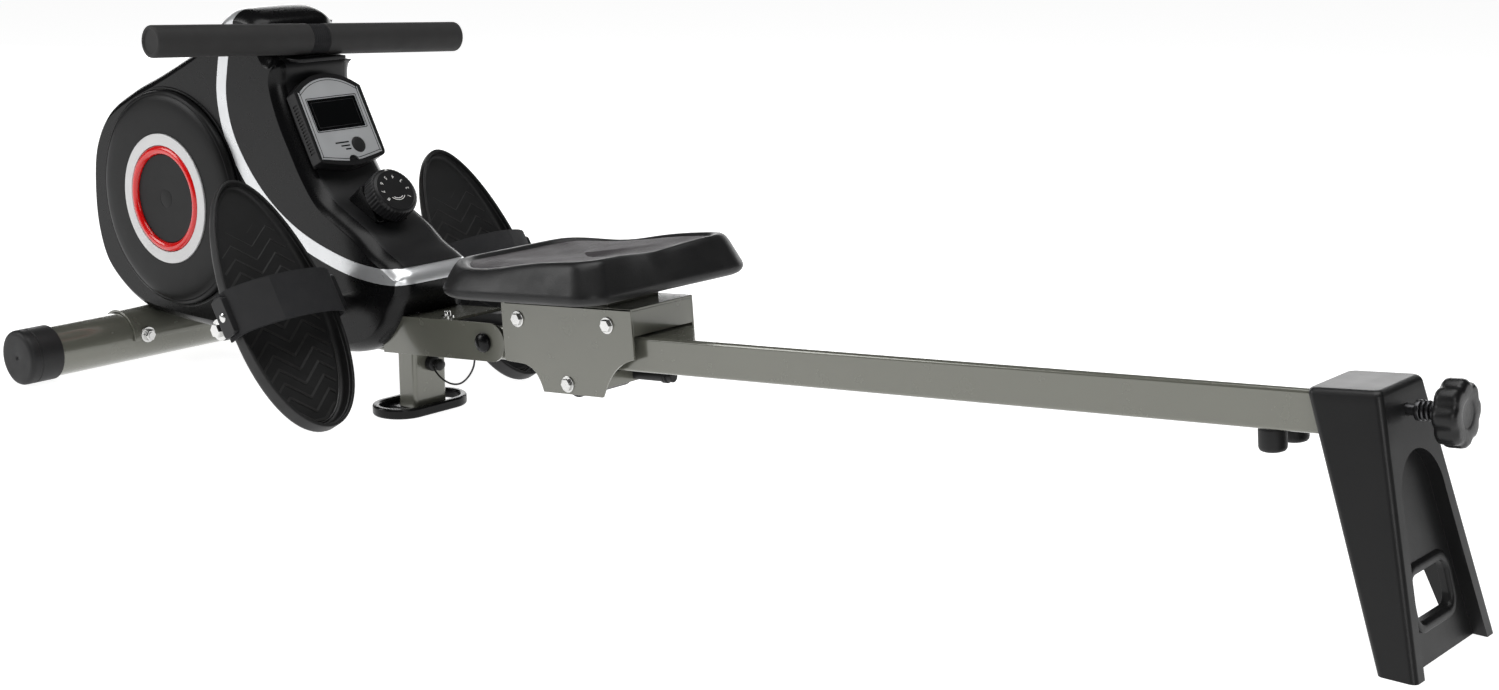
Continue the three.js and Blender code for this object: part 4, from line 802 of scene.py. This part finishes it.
def tension_knob():
    base = mesh_object("knob_base", prism(rounded(-25, 25, -23, 23, 4), -54.3, -20.3, "Z"), KNOB)
    for side in (-1, 1):
        carved(base, block(-26, -9, *sorted((side * 15, side * 25)), -27, -19), where=KNOB)
        carved(base, block(9, 26, *sorted((side * 15, side * 25)), -27, -19), where=KNOB)
    carved(base, cylinder(4.5, -56, -19, "Z", 0, 0, 32), where=KNOB)
    dress(base, GLOSS_BLACK, "frame", replaces=["tension_base"], edge=1.2)
    def gripped(radius, depth):
        out = []
        for i in range(240):
            angle = math.radians(i * 1.5)
            reach = radius - depth * (0.5 - 0.5 * math.cos(40 * angle)) ** 2
            out.append((reach * math.cos(angle), reach * math.sin(angle)))
        return out
    sides = [
        (30.2, 0.0, -20), (30.9, 0.0, -19.2), (31, 0.9, -17), (30.8, 0.9, -6), (30.2, 0.7, -3.4),
        (29.2, 0.3, -1.6), (27.6, 0, -0.5), (26, 0, -0.2), (25.4, 0, -0.9), (24.4, 0, -1.1), (10, 0, -1.1),
    ]
    rings = [at("Z", level, gripped(radius, depth)) for radius, depth, level in sides]
    spindle = cylinder(4, -60, -19, "Z", 0, 0, 32)
    piece("knob_cap", both(loft(rings), spindle), SATIN_BLACK, "tension_dial", where=KNOB,
          replaces=["tension_knob"])
    first, step, reach, face = 57.5, 35, 18.6 * MM, -1.1 * MM
    for n in range(8):
        angle = math.radians(first + step * n)
        spot = Matrix.Translation((reach * math.cos(angle), reach * math.sin(angle), face))
        upright = Matrix.Rotation(angle + math.pi / 2, 4, "Z")
        digit = lettered(str(n + 1), 6.4, KNOB @ spot @ upright, 0.08)
        dress(digit, PRINT, "tension_dial").name = f"dial_number_{n + 1}"
    arrow = prism([(-29.4, 0), (-26.4, -2.2), (-26.4, 2.2)], -0.8, -0.05, "Z")
    sweep = [
        loft([at("Z", z, arc(0, 0, r1, a, b, 20) + arc(0, 0, r0, b, a, 20)) for z in (-1.15, -1.0)])
        for r0, r1, a, b in ((12.2, 12.9, -50, 50), (9.8, 10.6, -40, 40))
    ]
    piece("dial_marks", both(arrow, *sweep), PRINT, "tension_dial", where=KNOB)


# ---- Handle, its rest, roller and strap ----
HANDLE = (GROUND @ Matrix.Translation((-0.321, -0.004, 0.4235)) @ Matrix.Rotation(math.radians(-3.3), 4, "X")
          @ Matrix.Rotation(math.radians(-2.5), 4, "Z"))


def handle():
    rest = mesh_object("rest", prism(rounded(-337, -303, -35, 35, 5), 398.5, 402.5, "Z"))
    carved(rest, prism(rounded(-328.5, -322.5, -14, 14, 2.4), 390, 410, "Z"))
    dress(rest, SATIN_BLACK, "frame", replaces=["handle_rest"], edge=0.9)
    spool = [(2.2, -13), (7.5, -13), (7.5, -11.9), (6, -11.4), (6, 11.4), (7.5, 11.9), (7.5, 13), (2.2, 13)]
    piece("guide_roller", turned(spool, "Y", *place("strap_roller"), 48, True), ZINC, "strap_guide",
          replaces=["strap_roller"])
    tube = [(11.2, -217), (12.7, -217), (12.7, 217), (11.2, 217)]
    piece("bar", turned(tube, "Y", 0, 0, 64, True), ZINC, "handle", where=HANDLE, replaces=["handle_bar"])
    for name, side, start in (("left", -1, 7.8), ("right", 1, 15.8)):
        sleeve = [
            (13, start), (17.4, start), (18.2, start + 0.7), (18.3, start + 2), (18.3, 217.4), (17.9, 219),
            (16.8, 219.8),
            (15.2, 220), (14.0, 219.6), (13.4, 218.6), (12.4, 218.1), (0, 218.1), (0, 217.4), (13, 217.4),
        ]
        placed = [(r, side * y) for r, y in sleeve]
        piece("foam_" + name, turned(placed, "Y", 0, 0, 96), FOAM, "handle", where=HANDLE,
              replaces=["grip_" + name])
    ribs = []
    for i in range(24):
        y = -7.5 + i
        ribs += [(17.1, y), (17.7, y + 0.3), (17.7, y + 0.7), (17.1, y + 1)]
    band = [(13, -7.5)] + ribs + [(13, 15.5)]
    band = [(r, min(y, 15.5)) for r, y in band]
    piece("wrap", turned(band, "Y", 0, 0, 96, True), WEBBING, "handle", where=HANDLE, replaces=["strap_loop"])


def handle_strap():
    """The strap from the handlebar through the slot and down to the spool, swept along a fixed line."""
    drum_x, drum_z = place("strap_spool")
    end = (drum_x + 23.1, drum_z)
    top, bend = 403.7, 382.5
    line = [(-325.5, top - i * (top - 385.6) / 70) for i in range(71)]
    line += [(-325.5 - 0.5 * (i / 6) ** 2, 385.6 - i * (385.6 - bend) / 6) for i in range(1, 7)]
    line += [(-326 + (end[0] + 326) * i / 10, bend + (end[1] - bend) * i / 10) for i in range(1, 11)]
    section = [(-11, 0.8), (-10.6, 0.55), (-9.4, 0.8), (-8.6, 0.6), (8.6, 0.6), (9.4, 0.8), (10.6, 0.55),
               (11, 0.8), (11, -0.8), (-11, -0.8)]
    strap = mesh_object("strap", swept([(x, 0, z) for x, z in line], section, flat=(0, 1, 0)))
    strap.data.materials.append(WEBBING)
    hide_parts("handle_strap")
    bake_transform(strap)


# ---- Pedals ----
def pedal_axle():
    rod = [(0, -225.3), (7.2, -225.3), (8, -224.5), (8, 224.5), (7.2, 225.3), (0, 225.3)]
    parts = [turned(rod, "Y", AXLE_X, AXLE_Z, 48)]
    for _, side in SIDES:
        sleeve = [(7.9, 46), (12, 46), (12, 85.2), (11.4, 86), (7.9, 86)]
        parts.append(turned([(r, side * y) for r, y in sleeve], "Y", AXLE_X, AXLE_Z, 48, True))
    piece("axle", both(*parts), ZINC, "frame", replaces=["pedal_axle"])
    for name, side in SIDES:
        nut = hex_bolt("Y", AXLE_X, AXLE_Z, side * 226.5, side, across=14.6, height=6.6, washer=12.4,
                       thick=2.3)
        piece("axle_nut_" + name, nut, ZINC, "frame", replaces=["pedal_nut_" + name])


def tray_ring(centre, shrink, height, steps=96):
    """The tray's egg outline, moved in by shrink, at a height that may follow the slope of the floor."""
    ring = []
    for i in range(steps):
        angle = 2 * math.pi * i / steps
        along = math.cos(angle)
        across = (PLATE_HALF_WIDTH - shrink) * math.sin(angle) * (1 + PLATE_EGG * along)
        level = height(along) if callable(height) else height
        ring.append(((PLATE_HALF_LENGTH - shrink) * along - PLATE_FORWARD, centre + across, level))
    return ring


def pedal(name, side):
    body = "pedal_" + name
    centre = side * PLATE_Y
    def floor_at(offset):
        return lambda along: offset + 17 - 5 * along
    underside = ((12, -6), (8.5, -5.9), (5, -4.9), (2.4, -3), (1.0, -0.5), (0.2, 2.5))
    rim = ((0, 29.4), (0.4, 30.5), (1.4, 31), (3.0, 31), (3.8, 30.6), (4.1, 29.6), (4.4, 26.6), (5.4, 26.2),
           (5.8, 25.4))
    inside = ((6.4, 4.2), (7.4, 2), (9.4, 0.5), (12.5, 0))
    outside = [tray_ring(centre, shrink, floor_at(offset)) for shrink, offset in underside]
    outside += [tray_ring(centre, shrink, level) for shrink, level in rim]
    outside += [tray_ring(centre, shrink, floor_at(offset)) for shrink, offset in inside]
    tray = mesh_object("tray", loft(outside), PEDAL)
    low, high = sorted((centre - side * 62, centre + side * 68))
    boss = turned([(8.5, low), (12, low), (13, low + 1), (13, high - 1), (12, high), (8.5, high)], "Y", 0,
                  0, 48, True)
    carved(tray, cylinder(12.5, low + 0.5, high - 0.5, "Y", 0, 0, 48),
           where=PEDAL)
    dress(tray, RUBBER, body, replaces=["footplate_" + name])
    piece("pedal_boss_" + name, boss, RUBBER, body, where=PEDAL)

    ribs = []
    for x in range(-146, 152, 17):
        line = []
        for i in range(-56, 57):
            zig = 11 - abs((i + 28) % 56 - 28) * 22 / 28
            along = (x + zig + PLATE_FORWARD) / PLATE_HALF_LENGTH
            oval = math.sqrt(max(0, 1 - (along * PLATE_HALF_LENGTH / 140) ** 2))
            reach = (PLATE_HALF_WIDTH - 14.5) * oval * (1 + PLATE_EGG * along)
            if abs(i) < reach:
                line.append((x + zig, centre + i, 17 - 5 * along - 0.1))
        if len(line) > 12:
            ribs.append(swept(line, [(-1.5, -0.3), (1.5, -0.3), (0.9, 2.0), (-0.9, 2.0)], flat=(1, 0, 0)))
    # The ribs and the heel line take the lightened tread colour, a painted highlight along the raised rubber.
    piece("tread_" + name, both(*ribs), TREAD_PAINTED_HIGHLIGHT, body, where=PEDAL, sharp=30)
    lip = [(x, y, z) for x, y, z in tray_ring(centre, 11.5, floor_at(0.9)) if x > 40]
    piece("heel_line_" + name, swept(sorted(lip, key=lambda p: p[1]), circle(0, 0, 0.9, 8), flat=(1, 0, 0)),
          TREAD_PAINTED_HIGHLIGHT, body, where=PEDAL)
    pedal_strap(name, side, centre, body)


def pedal_strap(name, side, centre, body):
    reach, rim, height, foot = 72, 31, 30, 14.5
    def arch(extra, start=180, end=0, steps=64, sides=True):
        top = [(centre + (reach + extra) * c, rim + (height + extra) * s)
               for c, s in arc(0, 0, 1, start, end, steps)]
        if not sides:
            return top
        return [(centre - reach - extra, foot)] + top + [(centre + reach + extra, foot)]
    band = loft([[(x, y, z) for y, z in arch(2.4) + arch(0)[::-1]] for x in (-32, 22)])
    piece("foot_band_" + name, band, WEBBING, body, where=PEDAL, replaces=["pedal_strap_" + name], edge=0.5)
    patch = [[(x, y if side < 0 else 2 * centre - y, z)
              for y, z in arch(2.5, 172, 112, 30, False) + arch(1.2, 172, 112, 30, False)[::-1]]
              for x in (-31.2, 21.2)]
    piece("velcro_" + name, loft(patch), VELCRO, body, where=PEDAL)
    lugs, bolts = [], []
    for end in (-1, 1):
        inner, outer = centre + end * 72.5, centre + end * 80.5
        lugs.append(prism(rounded(-28, 18, 14.8, 36.6, 5), *sorted((inner, outer))))
        bolts.append(turned([(0, outer + end * 1.6), (3.6, outer + end * 1.4), (5.2, outer + end * 0.3),
                             (5.2, outer - end), (0, outer - end)], "Y", -5, 25.5, 32))
    piece("strap_lug_" + name, both(*lugs), SATIN_BLACK, body, where=PEDAL, edge=1.2)
    piece("strap_bolt_" + name, both(*bolts), ZINC, body, where=PEDAL)


# ---- Rail, pad, bumpers ----
def rail():
    outer = rounded(-RAIL_HALF_WIDTH, RAIL_HALF_WIDTH, -RAIL_HALF_HEIGHT, RAIL_HALF_HEIGHT, 4, 12)
    inner = rounded(-35.6, 35.6, -16.55, 16.55, 2, 12)
    tube = mesh_object("rail", ring_prism(outer, inner, RAIL_FRONT, RAIL_REAR, "X"), SLOPE)
    carved(tube, cylinder(8.5, -60, 60, "Y", 0, 0, 48), where=SLOPE)
    dress(tube, PAINT, "folding_rail", replaces=["rail"], edge=0.5)
    piece("rail_front_plate", prism(rounded(-35.7, 35.7, -16.65, 16.65, 2), -44.6, -40, "X"), PAINT,
          "folding_rail", where=SLOPE)
    top = 19.35
    wedge = [(RAIL_FRONT, top), (52.4, top), (52.4, top + 11.5), (51.4, top + 12.5), (6, top + 12.5),
             (2, top + 12), (-43.5, top + 2.2), (RAIL_FRONT, top + 1.4)]
    piece("stop_pad", prism(wedge, -33.1, 33.1), RUBBER, "folding_rail", where=SLOPE, replaces=["rail_pad"],
          edge=1.0)
    for name, side in SIDES:
        stub = [
            (0, -41.35), (8.5, -41.2), (10.8, -40.3), (12.1, -38.6), (12.5, -36.4), (12.5, -22),
            (11.8, -21), (11.8, -20.4), (12.5, -20), (12.5, -19.35), (0, -19.35),
        ]
        piece("buffer_" + name, turned(stub, "Z", 947.5, side * 20.5, 48), RUBBER, "folding_rail",
              where=SLOPE, replaces=["bumper_" + name])


# ---- Rear leg and its hand knob ----
def rear_leg():
    top_front, top_rear, bottom_front, bottom_rear = (983, 219), (1049, 226), (1078, 0), (1113, 0)
    half_top, half_bottom, pocket, web = 42.1, 81, 13, 6
    hole_half, hole_low, hole_high, hole_corner = 34, 34, 72, 10
    def mix(a, b, t):
        return a + (b - a) * t
    def ring(t, shrink=0.0, drop=0.0):
        x0, z0 = mix(bottom_front[0], top_front[0], t), mix(bottom_front[1], top_front[1], t)
        x1, z1 = mix(bottom_rear[0], top_rear[0], t), mix(bottom_rear[1], top_rear[1], t)
        half = mix(half_bottom, half_top, t) - shrink
        outline = rounded(x0 + shrink * 0.8, x1 - shrink * 0.8, -half, half, 6, 10)
        return [(x, y, mix(z0, z1, (x - x0) / (x1 - x0)) - drop) for x, y in outline]
    rings = [ring(t / 20) for t in range(20)] + [
        ring(0.975), ring(0.986, 0.5), ring(0.994, 1.8), ring(0.999, 3.6, 0.2), ring(1.0, 5.5, 0.1)]
    leg = mesh_object("leg", loft(rings))
    def front_at(z):
        return mix(bottom_front[0], top_front[0], z / top_front[1])
    def rear_at(z):
        return mix(bottom_rear[0], top_rear[0], z / top_rear[1])
    def half_at(z):
        return mix(half_bottom, half_top, z / top_rear[1]) - 17
    curve = arc(0, 130, half_at(130), 14, 166, 36)
    shape = [(-half_at(-5), -5), (half_at(-5), -5)] + [(half_at(z), z) for z in range(20, 131, 22)] + curve
    shape += [(-half_at(z), z) for z in range(130, 19, -22)]
    carved(leg, loft([[(rear_at(z) - pocket, y, z) for y, z in shape],
                      [(rear_at(z) + 30, y, z) for y, z in shape]]))
    carved(leg, loft([[(front_at(z) - 30, y, z) for y, z in shape],
                      [(rear_at(z) - (pocket + web), y, z) for y, z in shape]]))
    carved(leg, prism(rounded(-hole_half, hole_half, hole_low, hole_high, hole_corner, 12), 990, 1200, "X"))
    hem = []
    for wide, out in ((9, -13.4), (8.4, -10.4), (6.8, -9.2), (2.4, -9.2), (0.6, -10.4), (0.2, -13.4)):
        edge = rounded(-hole_half - wide, hole_half + wide, hole_low - wide, hole_high + wide,
                       hole_corner + wide, 12)
        hem.append([(rear_at(z) + out, y, z) for y, z in edge])
    piece("hand_hole_border", loft(hem, looped=True), LEG_BLACK, "folding_rail", sharp=50)
    carved(leg, prism(rounded(-38.4, 38.4, -19.35, 19.35, 4, 10), -45, 1040.3, "X"), where=SLOPE)
    carved(leg, cylinder(5.5, 1039, 1120, "X", 0, 0, 32), where=SLOPE)
    dress(leg, LEG_BLACK, "folding_rail", replaces=["rear_leg"], edge=1.6, segments=4)

    profile = [
        (0, 1041), (5, 1041), (5, 1068), (8.6, 1068), (9, 1068.6), (9, 1071.4), (8.6, 1072), (6.4, 1072.4),
    ]
    for i in range(4):
        start = 1072.4 + i * 4.2
        profile += [(6.4, start), (8.4, start + 0.9), (8.9, start + 2.1), (8.4, start + 3.3),
                    (6.4, start + 4.2)]
    profile += [(9, 1089.4), (9, 1091), (0, 1091)]
    neck = turned(profile, "X", 0, 0, 40)
    piece("knob_screw", neck, DARK_STEEL, "leg_hand_knob", where=SLOPE)
    rings = []
    for scale, s in ((0.42, 1090), (0.8, 1090.2), (0.9, 1091), (0.975, 1093), (1, 1096), (1, 1106),
                     (0.975, 1109),
                     (0.9, 1111.2), (0.8, 1112), (0.5, 1111.9), (0.42, 1111.2), (0.36, 1110.8),
                     (0.1, 1110.8)):
        star = []
        for i in range(192):
            angle = 2 * math.pi * i / 192
            reach = 29 * scale - (2.4 * min(1, max(0, (scale - 0.4) / 0.4))) * (0.5
                - 0.5 * math.cos(8 * angle)) ** 1.6
            star.append((s, reach * math.cos(angle), reach * math.sin(angle)))
        rings.append(star)
    piece("star_knob", loft(rings), CAST_PLASTIC, "leg_hand_knob", where=SLOPE, replaces=["leg_knob"])


# ---- Seat carriage ----
def carriage():
    outline = [(44, 50.1), (41.2, 49), (40, 46.2)] + arc(43, -13, 3.6, 180, 262, 8)
    outline += smooth_curve([(60, -17.6), (72, -19), (83, -24.5), (91, -34.5), (96, -47.5)], 22)
    outline += [(184, -47.5)] + smooth_curve([(184, -47.5), (193, -31.5), (205, -17.5), (219, -8.5),
                                              (234, -3.6)], 22)[1:]
    outline += [(234, 50.1)]
    for name, side in SIDES:
        low, high = sorted((side * 46.1, side * 49.1))
        piece("side_plate_" + name, prism(outline, low, high), PAINT, "seat_carriage", where=SLOPE,
              replaces=["carriage"], edge=0.6)
    parts = {
        "top_plate": (block(46, 234, -49.1, 49.1, 47.1, 50), 0.6),
        "end_plate": (block(231, 234, -46.3, 46.3, 20.6, 47.3), 0.4),
        "riser": (block(70, 194, -40, 40, 49.8, 63.7), 1.2),
        "buffer_plate": (block(186, 189, -46.3, 46.3, -37.4, -22.6), 0.5),
    }
    for name, (shape, edge) in parts.items():
        piece(name, shape, PAINT, "seat_carriage", where=SLOPE, edge=edge)
    rod = [(0, 187), (6, 187), (6, 229.6), (7.4, 230), (7.4, 232.4), (6.6, 232.8), (7.4, 233.2), (7.4, 235.6),
           (6, 236), (6, 243), (5, 244), (0, 244)]
    piece("buffer_rod", turned(rod, "X", 0, -30, 40), RUBBER, "seat_carriage", where=SLOPE)
    bolts = []
    for s, h in ROLLERS.values():
        bolts.append(cylinder(4, -53, 53, "Y", s, h, 32))
        for side in (-1, 1):
            bolts.append(hex_bolt("Y", s, h, side * 49.1, side, across=12.6, height=3.4, washer=9, thick=1.5))
    piece("axle_bolts", both(*bolts), ZINC, "seat_carriage", where=SLOPE)
    for name, (s, h) in ROLLERS.items():
        radius = 17 if name == "lower" else 12
        tyre = [(4.5, -42), (7.5, -42), (7.5, -36.2), (radius - 1, -36.2), (radius, -35.2)]
        tyre += [(radius, 35.2), (radius - 1, 36.2), (7.5, 36.2), (7.5, 42), (4.5, 42)]
        piece(name + "_tyre", turned(tyre, "Y", s, h, 72, True), SATIN_BLACK, name + "_wheel", where=SLOPE,
              replaces=[name + "_roller"])


# ---- Seat ----
def seat():
    front, rear, half, front_corner, rear_corner = -4, 256, 130, 70, 30
    centre = (front + rear) / 2
    outline = arc(rear - rear_corner, half - rear_corner, rear_corner, 0, 90, 14)
    outline += [(rear - rear_corner - i * (rear - rear_corner - front - front_corner) / 10, half)
                for i in range(1, 10)]
    outline += arc(front + front_corner, half - front_corner, front_corner, 90, 180, 24)
    outline += [(front, half - front_corner - i * 2 * (half - front_corner) / 10) for i in range(1, 10)]
    upper = [(s, y) for s, y in outline if y > 0.01]
    back = [(rear, y) for y in (-75, -50, -25, 0, 25, 50, 75)]
    nose = [(front, y) for y in (45, 30, 15, 0, -15, -30, -45)]
    upper = [p for p in upper if not (p[0] == front and p[1] < 60)]
    lower = [(s, -y) for s, y in upper][::-1]
    loop = upper + nose + lower + back
    def ring(scale, height, rise, lobe=0.0, dish=0.0):
        made = []
        for s, y in loop:
            u, v = centre + (s - centre) * scale, y * scale
            tail = max(0, (s - centre) / (rear - centre))
            dip = tail ** 2 * math.exp(-(y / 46) ** 2) * min(1, scale / 0.8) ** 4
            flank = min(1, max(0, abs(v) / half - 0.55) / 0.35)
            roll = 8 * lobe * flank ** 2 * (3 - 2 * flank) * math.exp(-((u - 80) / 62) ** 2)
            lift = rise * (s - centre) / (rear - centre) - lobe * 5 * dip - dish * (1
                - (y / half) ** 2) - roll
            made.append((u - 9 * dip * (0.3 + 0.7 * lobe), v, height + lift))
        return made
    rings = [
        ring(0.90, 64.2, 0), ring(0.945, 64.4, 0), ring(0.972, 66, 0), ring(0.99, 68.6, 0),
        ring(0.998, 71.5, 0),
        ring(0.998, 74, 0), ring(0.992, 77, 0.5), ring(0.97, 83.5, 1.2, 0.2), ring(0.945, 91, 2, 0.5),
        ring(0.922, 97.6, 2.8, 0.8), ring(0.908, 101, 3.2, 1), ring(0.892, 103.6, 3.6, 1),
        ring(0.872, 105.2, 4, 1, 0.3),
        ring(0.85, 105.6, 4, 1, 0.6), ring(0.832, 105.3, 4, 1, 0.8), ring(0.82, 104.2, 4, 1, 0.9),
        ring(0.812, 102.4, 4, 1, 1), ]
    insert = [
        ring(0.80, 101.6, 4, 1, 1.2), ring(0.796, 101.9, 4, 1, 1.3), ring(0.79, 102.4, 4, 1, 1.4),
        ring(0.72, 102, 3.6, 0.9, 2.2), ring(0.6, 101.2, 3, 0.7, 3.2), ring(0.45, 100.4, 2.4, 0.4, 4.0),
        ring(0.3, 99.6, 1.6, 0.2, 4.6), ring(0.15, 99.2, 0.8, 0.1, 4.8), ring(0.02, 99.1, 0.1, 0, 4.9),
    ]
    pad = piece("seat_pad", loft(rings + insert), SEAT_SKIN, "seat_carriage", where=SLOPE,
                replaces=["seat"], sharp=60)
    pad.data.materials.append(SEAT_TEXTURE)
    start = (len(rings) + 1) * len(loop)
    for face in pad.data.polygons:
        if min(face.vertices) >= start:
            face.material_index = 1


def works():
    """The pieces inside the casing keep their CAD shapes."""
    for name, made in frame["nodes"].items():
        made.data.materials.clear()
        made.data.materials.append(NODE_LOOKS.get(name, SATIN_BLACK))
        finish_shading(made, 30)


NODE_LOOKS = {part["node"]: CAD_LOOKS[part["material_slot"]] for part in frame["record"]["subparts"]
              if part.get("material_slot") in CAD_LOOKS}


# ---- Camera, floor and light ----
def studio():
    camera = bpy.data.objects.new("camera", bpy.data.cameras.new("camera"))
    camera.data.lens = 54.1
    camera.data.sensor_width = 36
    camera.location = (PIN.x + 1.787, -1.728, 0.681)
    camera.rotation_euler = (math.radians(90 - 13.24), 0, math.radians(39.76))
    bpy.context.scene.collection.objects.link(camera)
    bpy.context.scene.camera = camera

    world = bpy.data.worlds.new("studio")
    bpy.context.scene.world = world
    world.use_nodes = True
    tree = world.node_tree
    height = node(tree, "ShaderNodeSeparateXYZ")
    tree.links.new(node(tree, "ShaderNodeTexCoord").outputs["Generated"], height.inputs["Vector"])
    rise = node(tree, "ShaderNodeMapRange")
    rise.inputs["From Min"].default_value = -0.1
    rise.inputs["From Max"].default_value = 0.9
    rise.inputs["To Min"].default_value = 0.10
    rise.inputs["To Max"].default_value = 0.75
    tree.links.new(height.outputs["Z"], rise.inputs["Value"])
    tree.links.new(rise.outputs["Result"], tree.nodes["Background"].inputs["Strength"])

    floor = mesh_object("floor", ([(-60000, -60000, -0.2), (60000, -60000, -0.2), (60000, 60000, -0.2),
                                   (-60000, 60000, -0.2)], [(0, 1, 2, 3)]), Matrix.Identity(4))
    paper = bpy.data.materials.new("floor_white")
    paper.use_nodes = True
    shader = paper.node_tree.nodes["Principled BSDF"]
    shader.inputs["Base Color"].default_value = (0.50, 0.50, 0.50, 1)
    shader.inputs["Roughness"].default_value = 0.9
    shader.inputs["Specular IOR Level"].default_value = 0.0
    shader.inputs["Emission Color"].default_value = (1, 1, 1, 1)
    shader.inputs["Emission Strength"].default_value = 0.93
    floor.data.materials.append(paper)

    def softbox(name, place, target, size, power):
        lamp = bpy.data.lights.new(name, "AREA")
        lamp.shape = "RECTANGLE"
        lamp.size, lamp.size_y = size
        lamp.energy = power
        made = bpy.data.objects.new(name, lamp)
        made.location = place
        made.rotation_euler = (Vector(target) - Vector(place)).to_track_quat("-Z", "Y").to_euler()
        bpy.context.scene.collection.objects.link(made)
    softbox("top_light", (0.2, -0.1, 3.2), (0, 0, 0), (3.6, 2.0), 80)
    softbox("left_light", (-2.7, -2.2, 1.9), (-0.4, 0, 0.2), (1.4, 2.0), 50)
    softbox("front_light", (2.9, -1.7, 1.3), (0.2, 0, 0.2), (1.0, 1.8), 22)
    softbox("back_light", (-2.0, 3.4, 0.95), (0, 0, 0.25), (7.0, 1.5), 95)
    bpy.context.scene.view_settings.view_transform = "Standard"


studio()
works()
lanyard()
stabiliser()
main_frame()
fold_bracket()
middle_support()
casing()
discs()
console()
tension_knob()
handle()
handle_strap()
pedal_axle()
for pedal_name, pedal_side in SIDES:
    pedal(pedal_name, pedal_side)
rail()
rear_leg()
carriage()
seat()
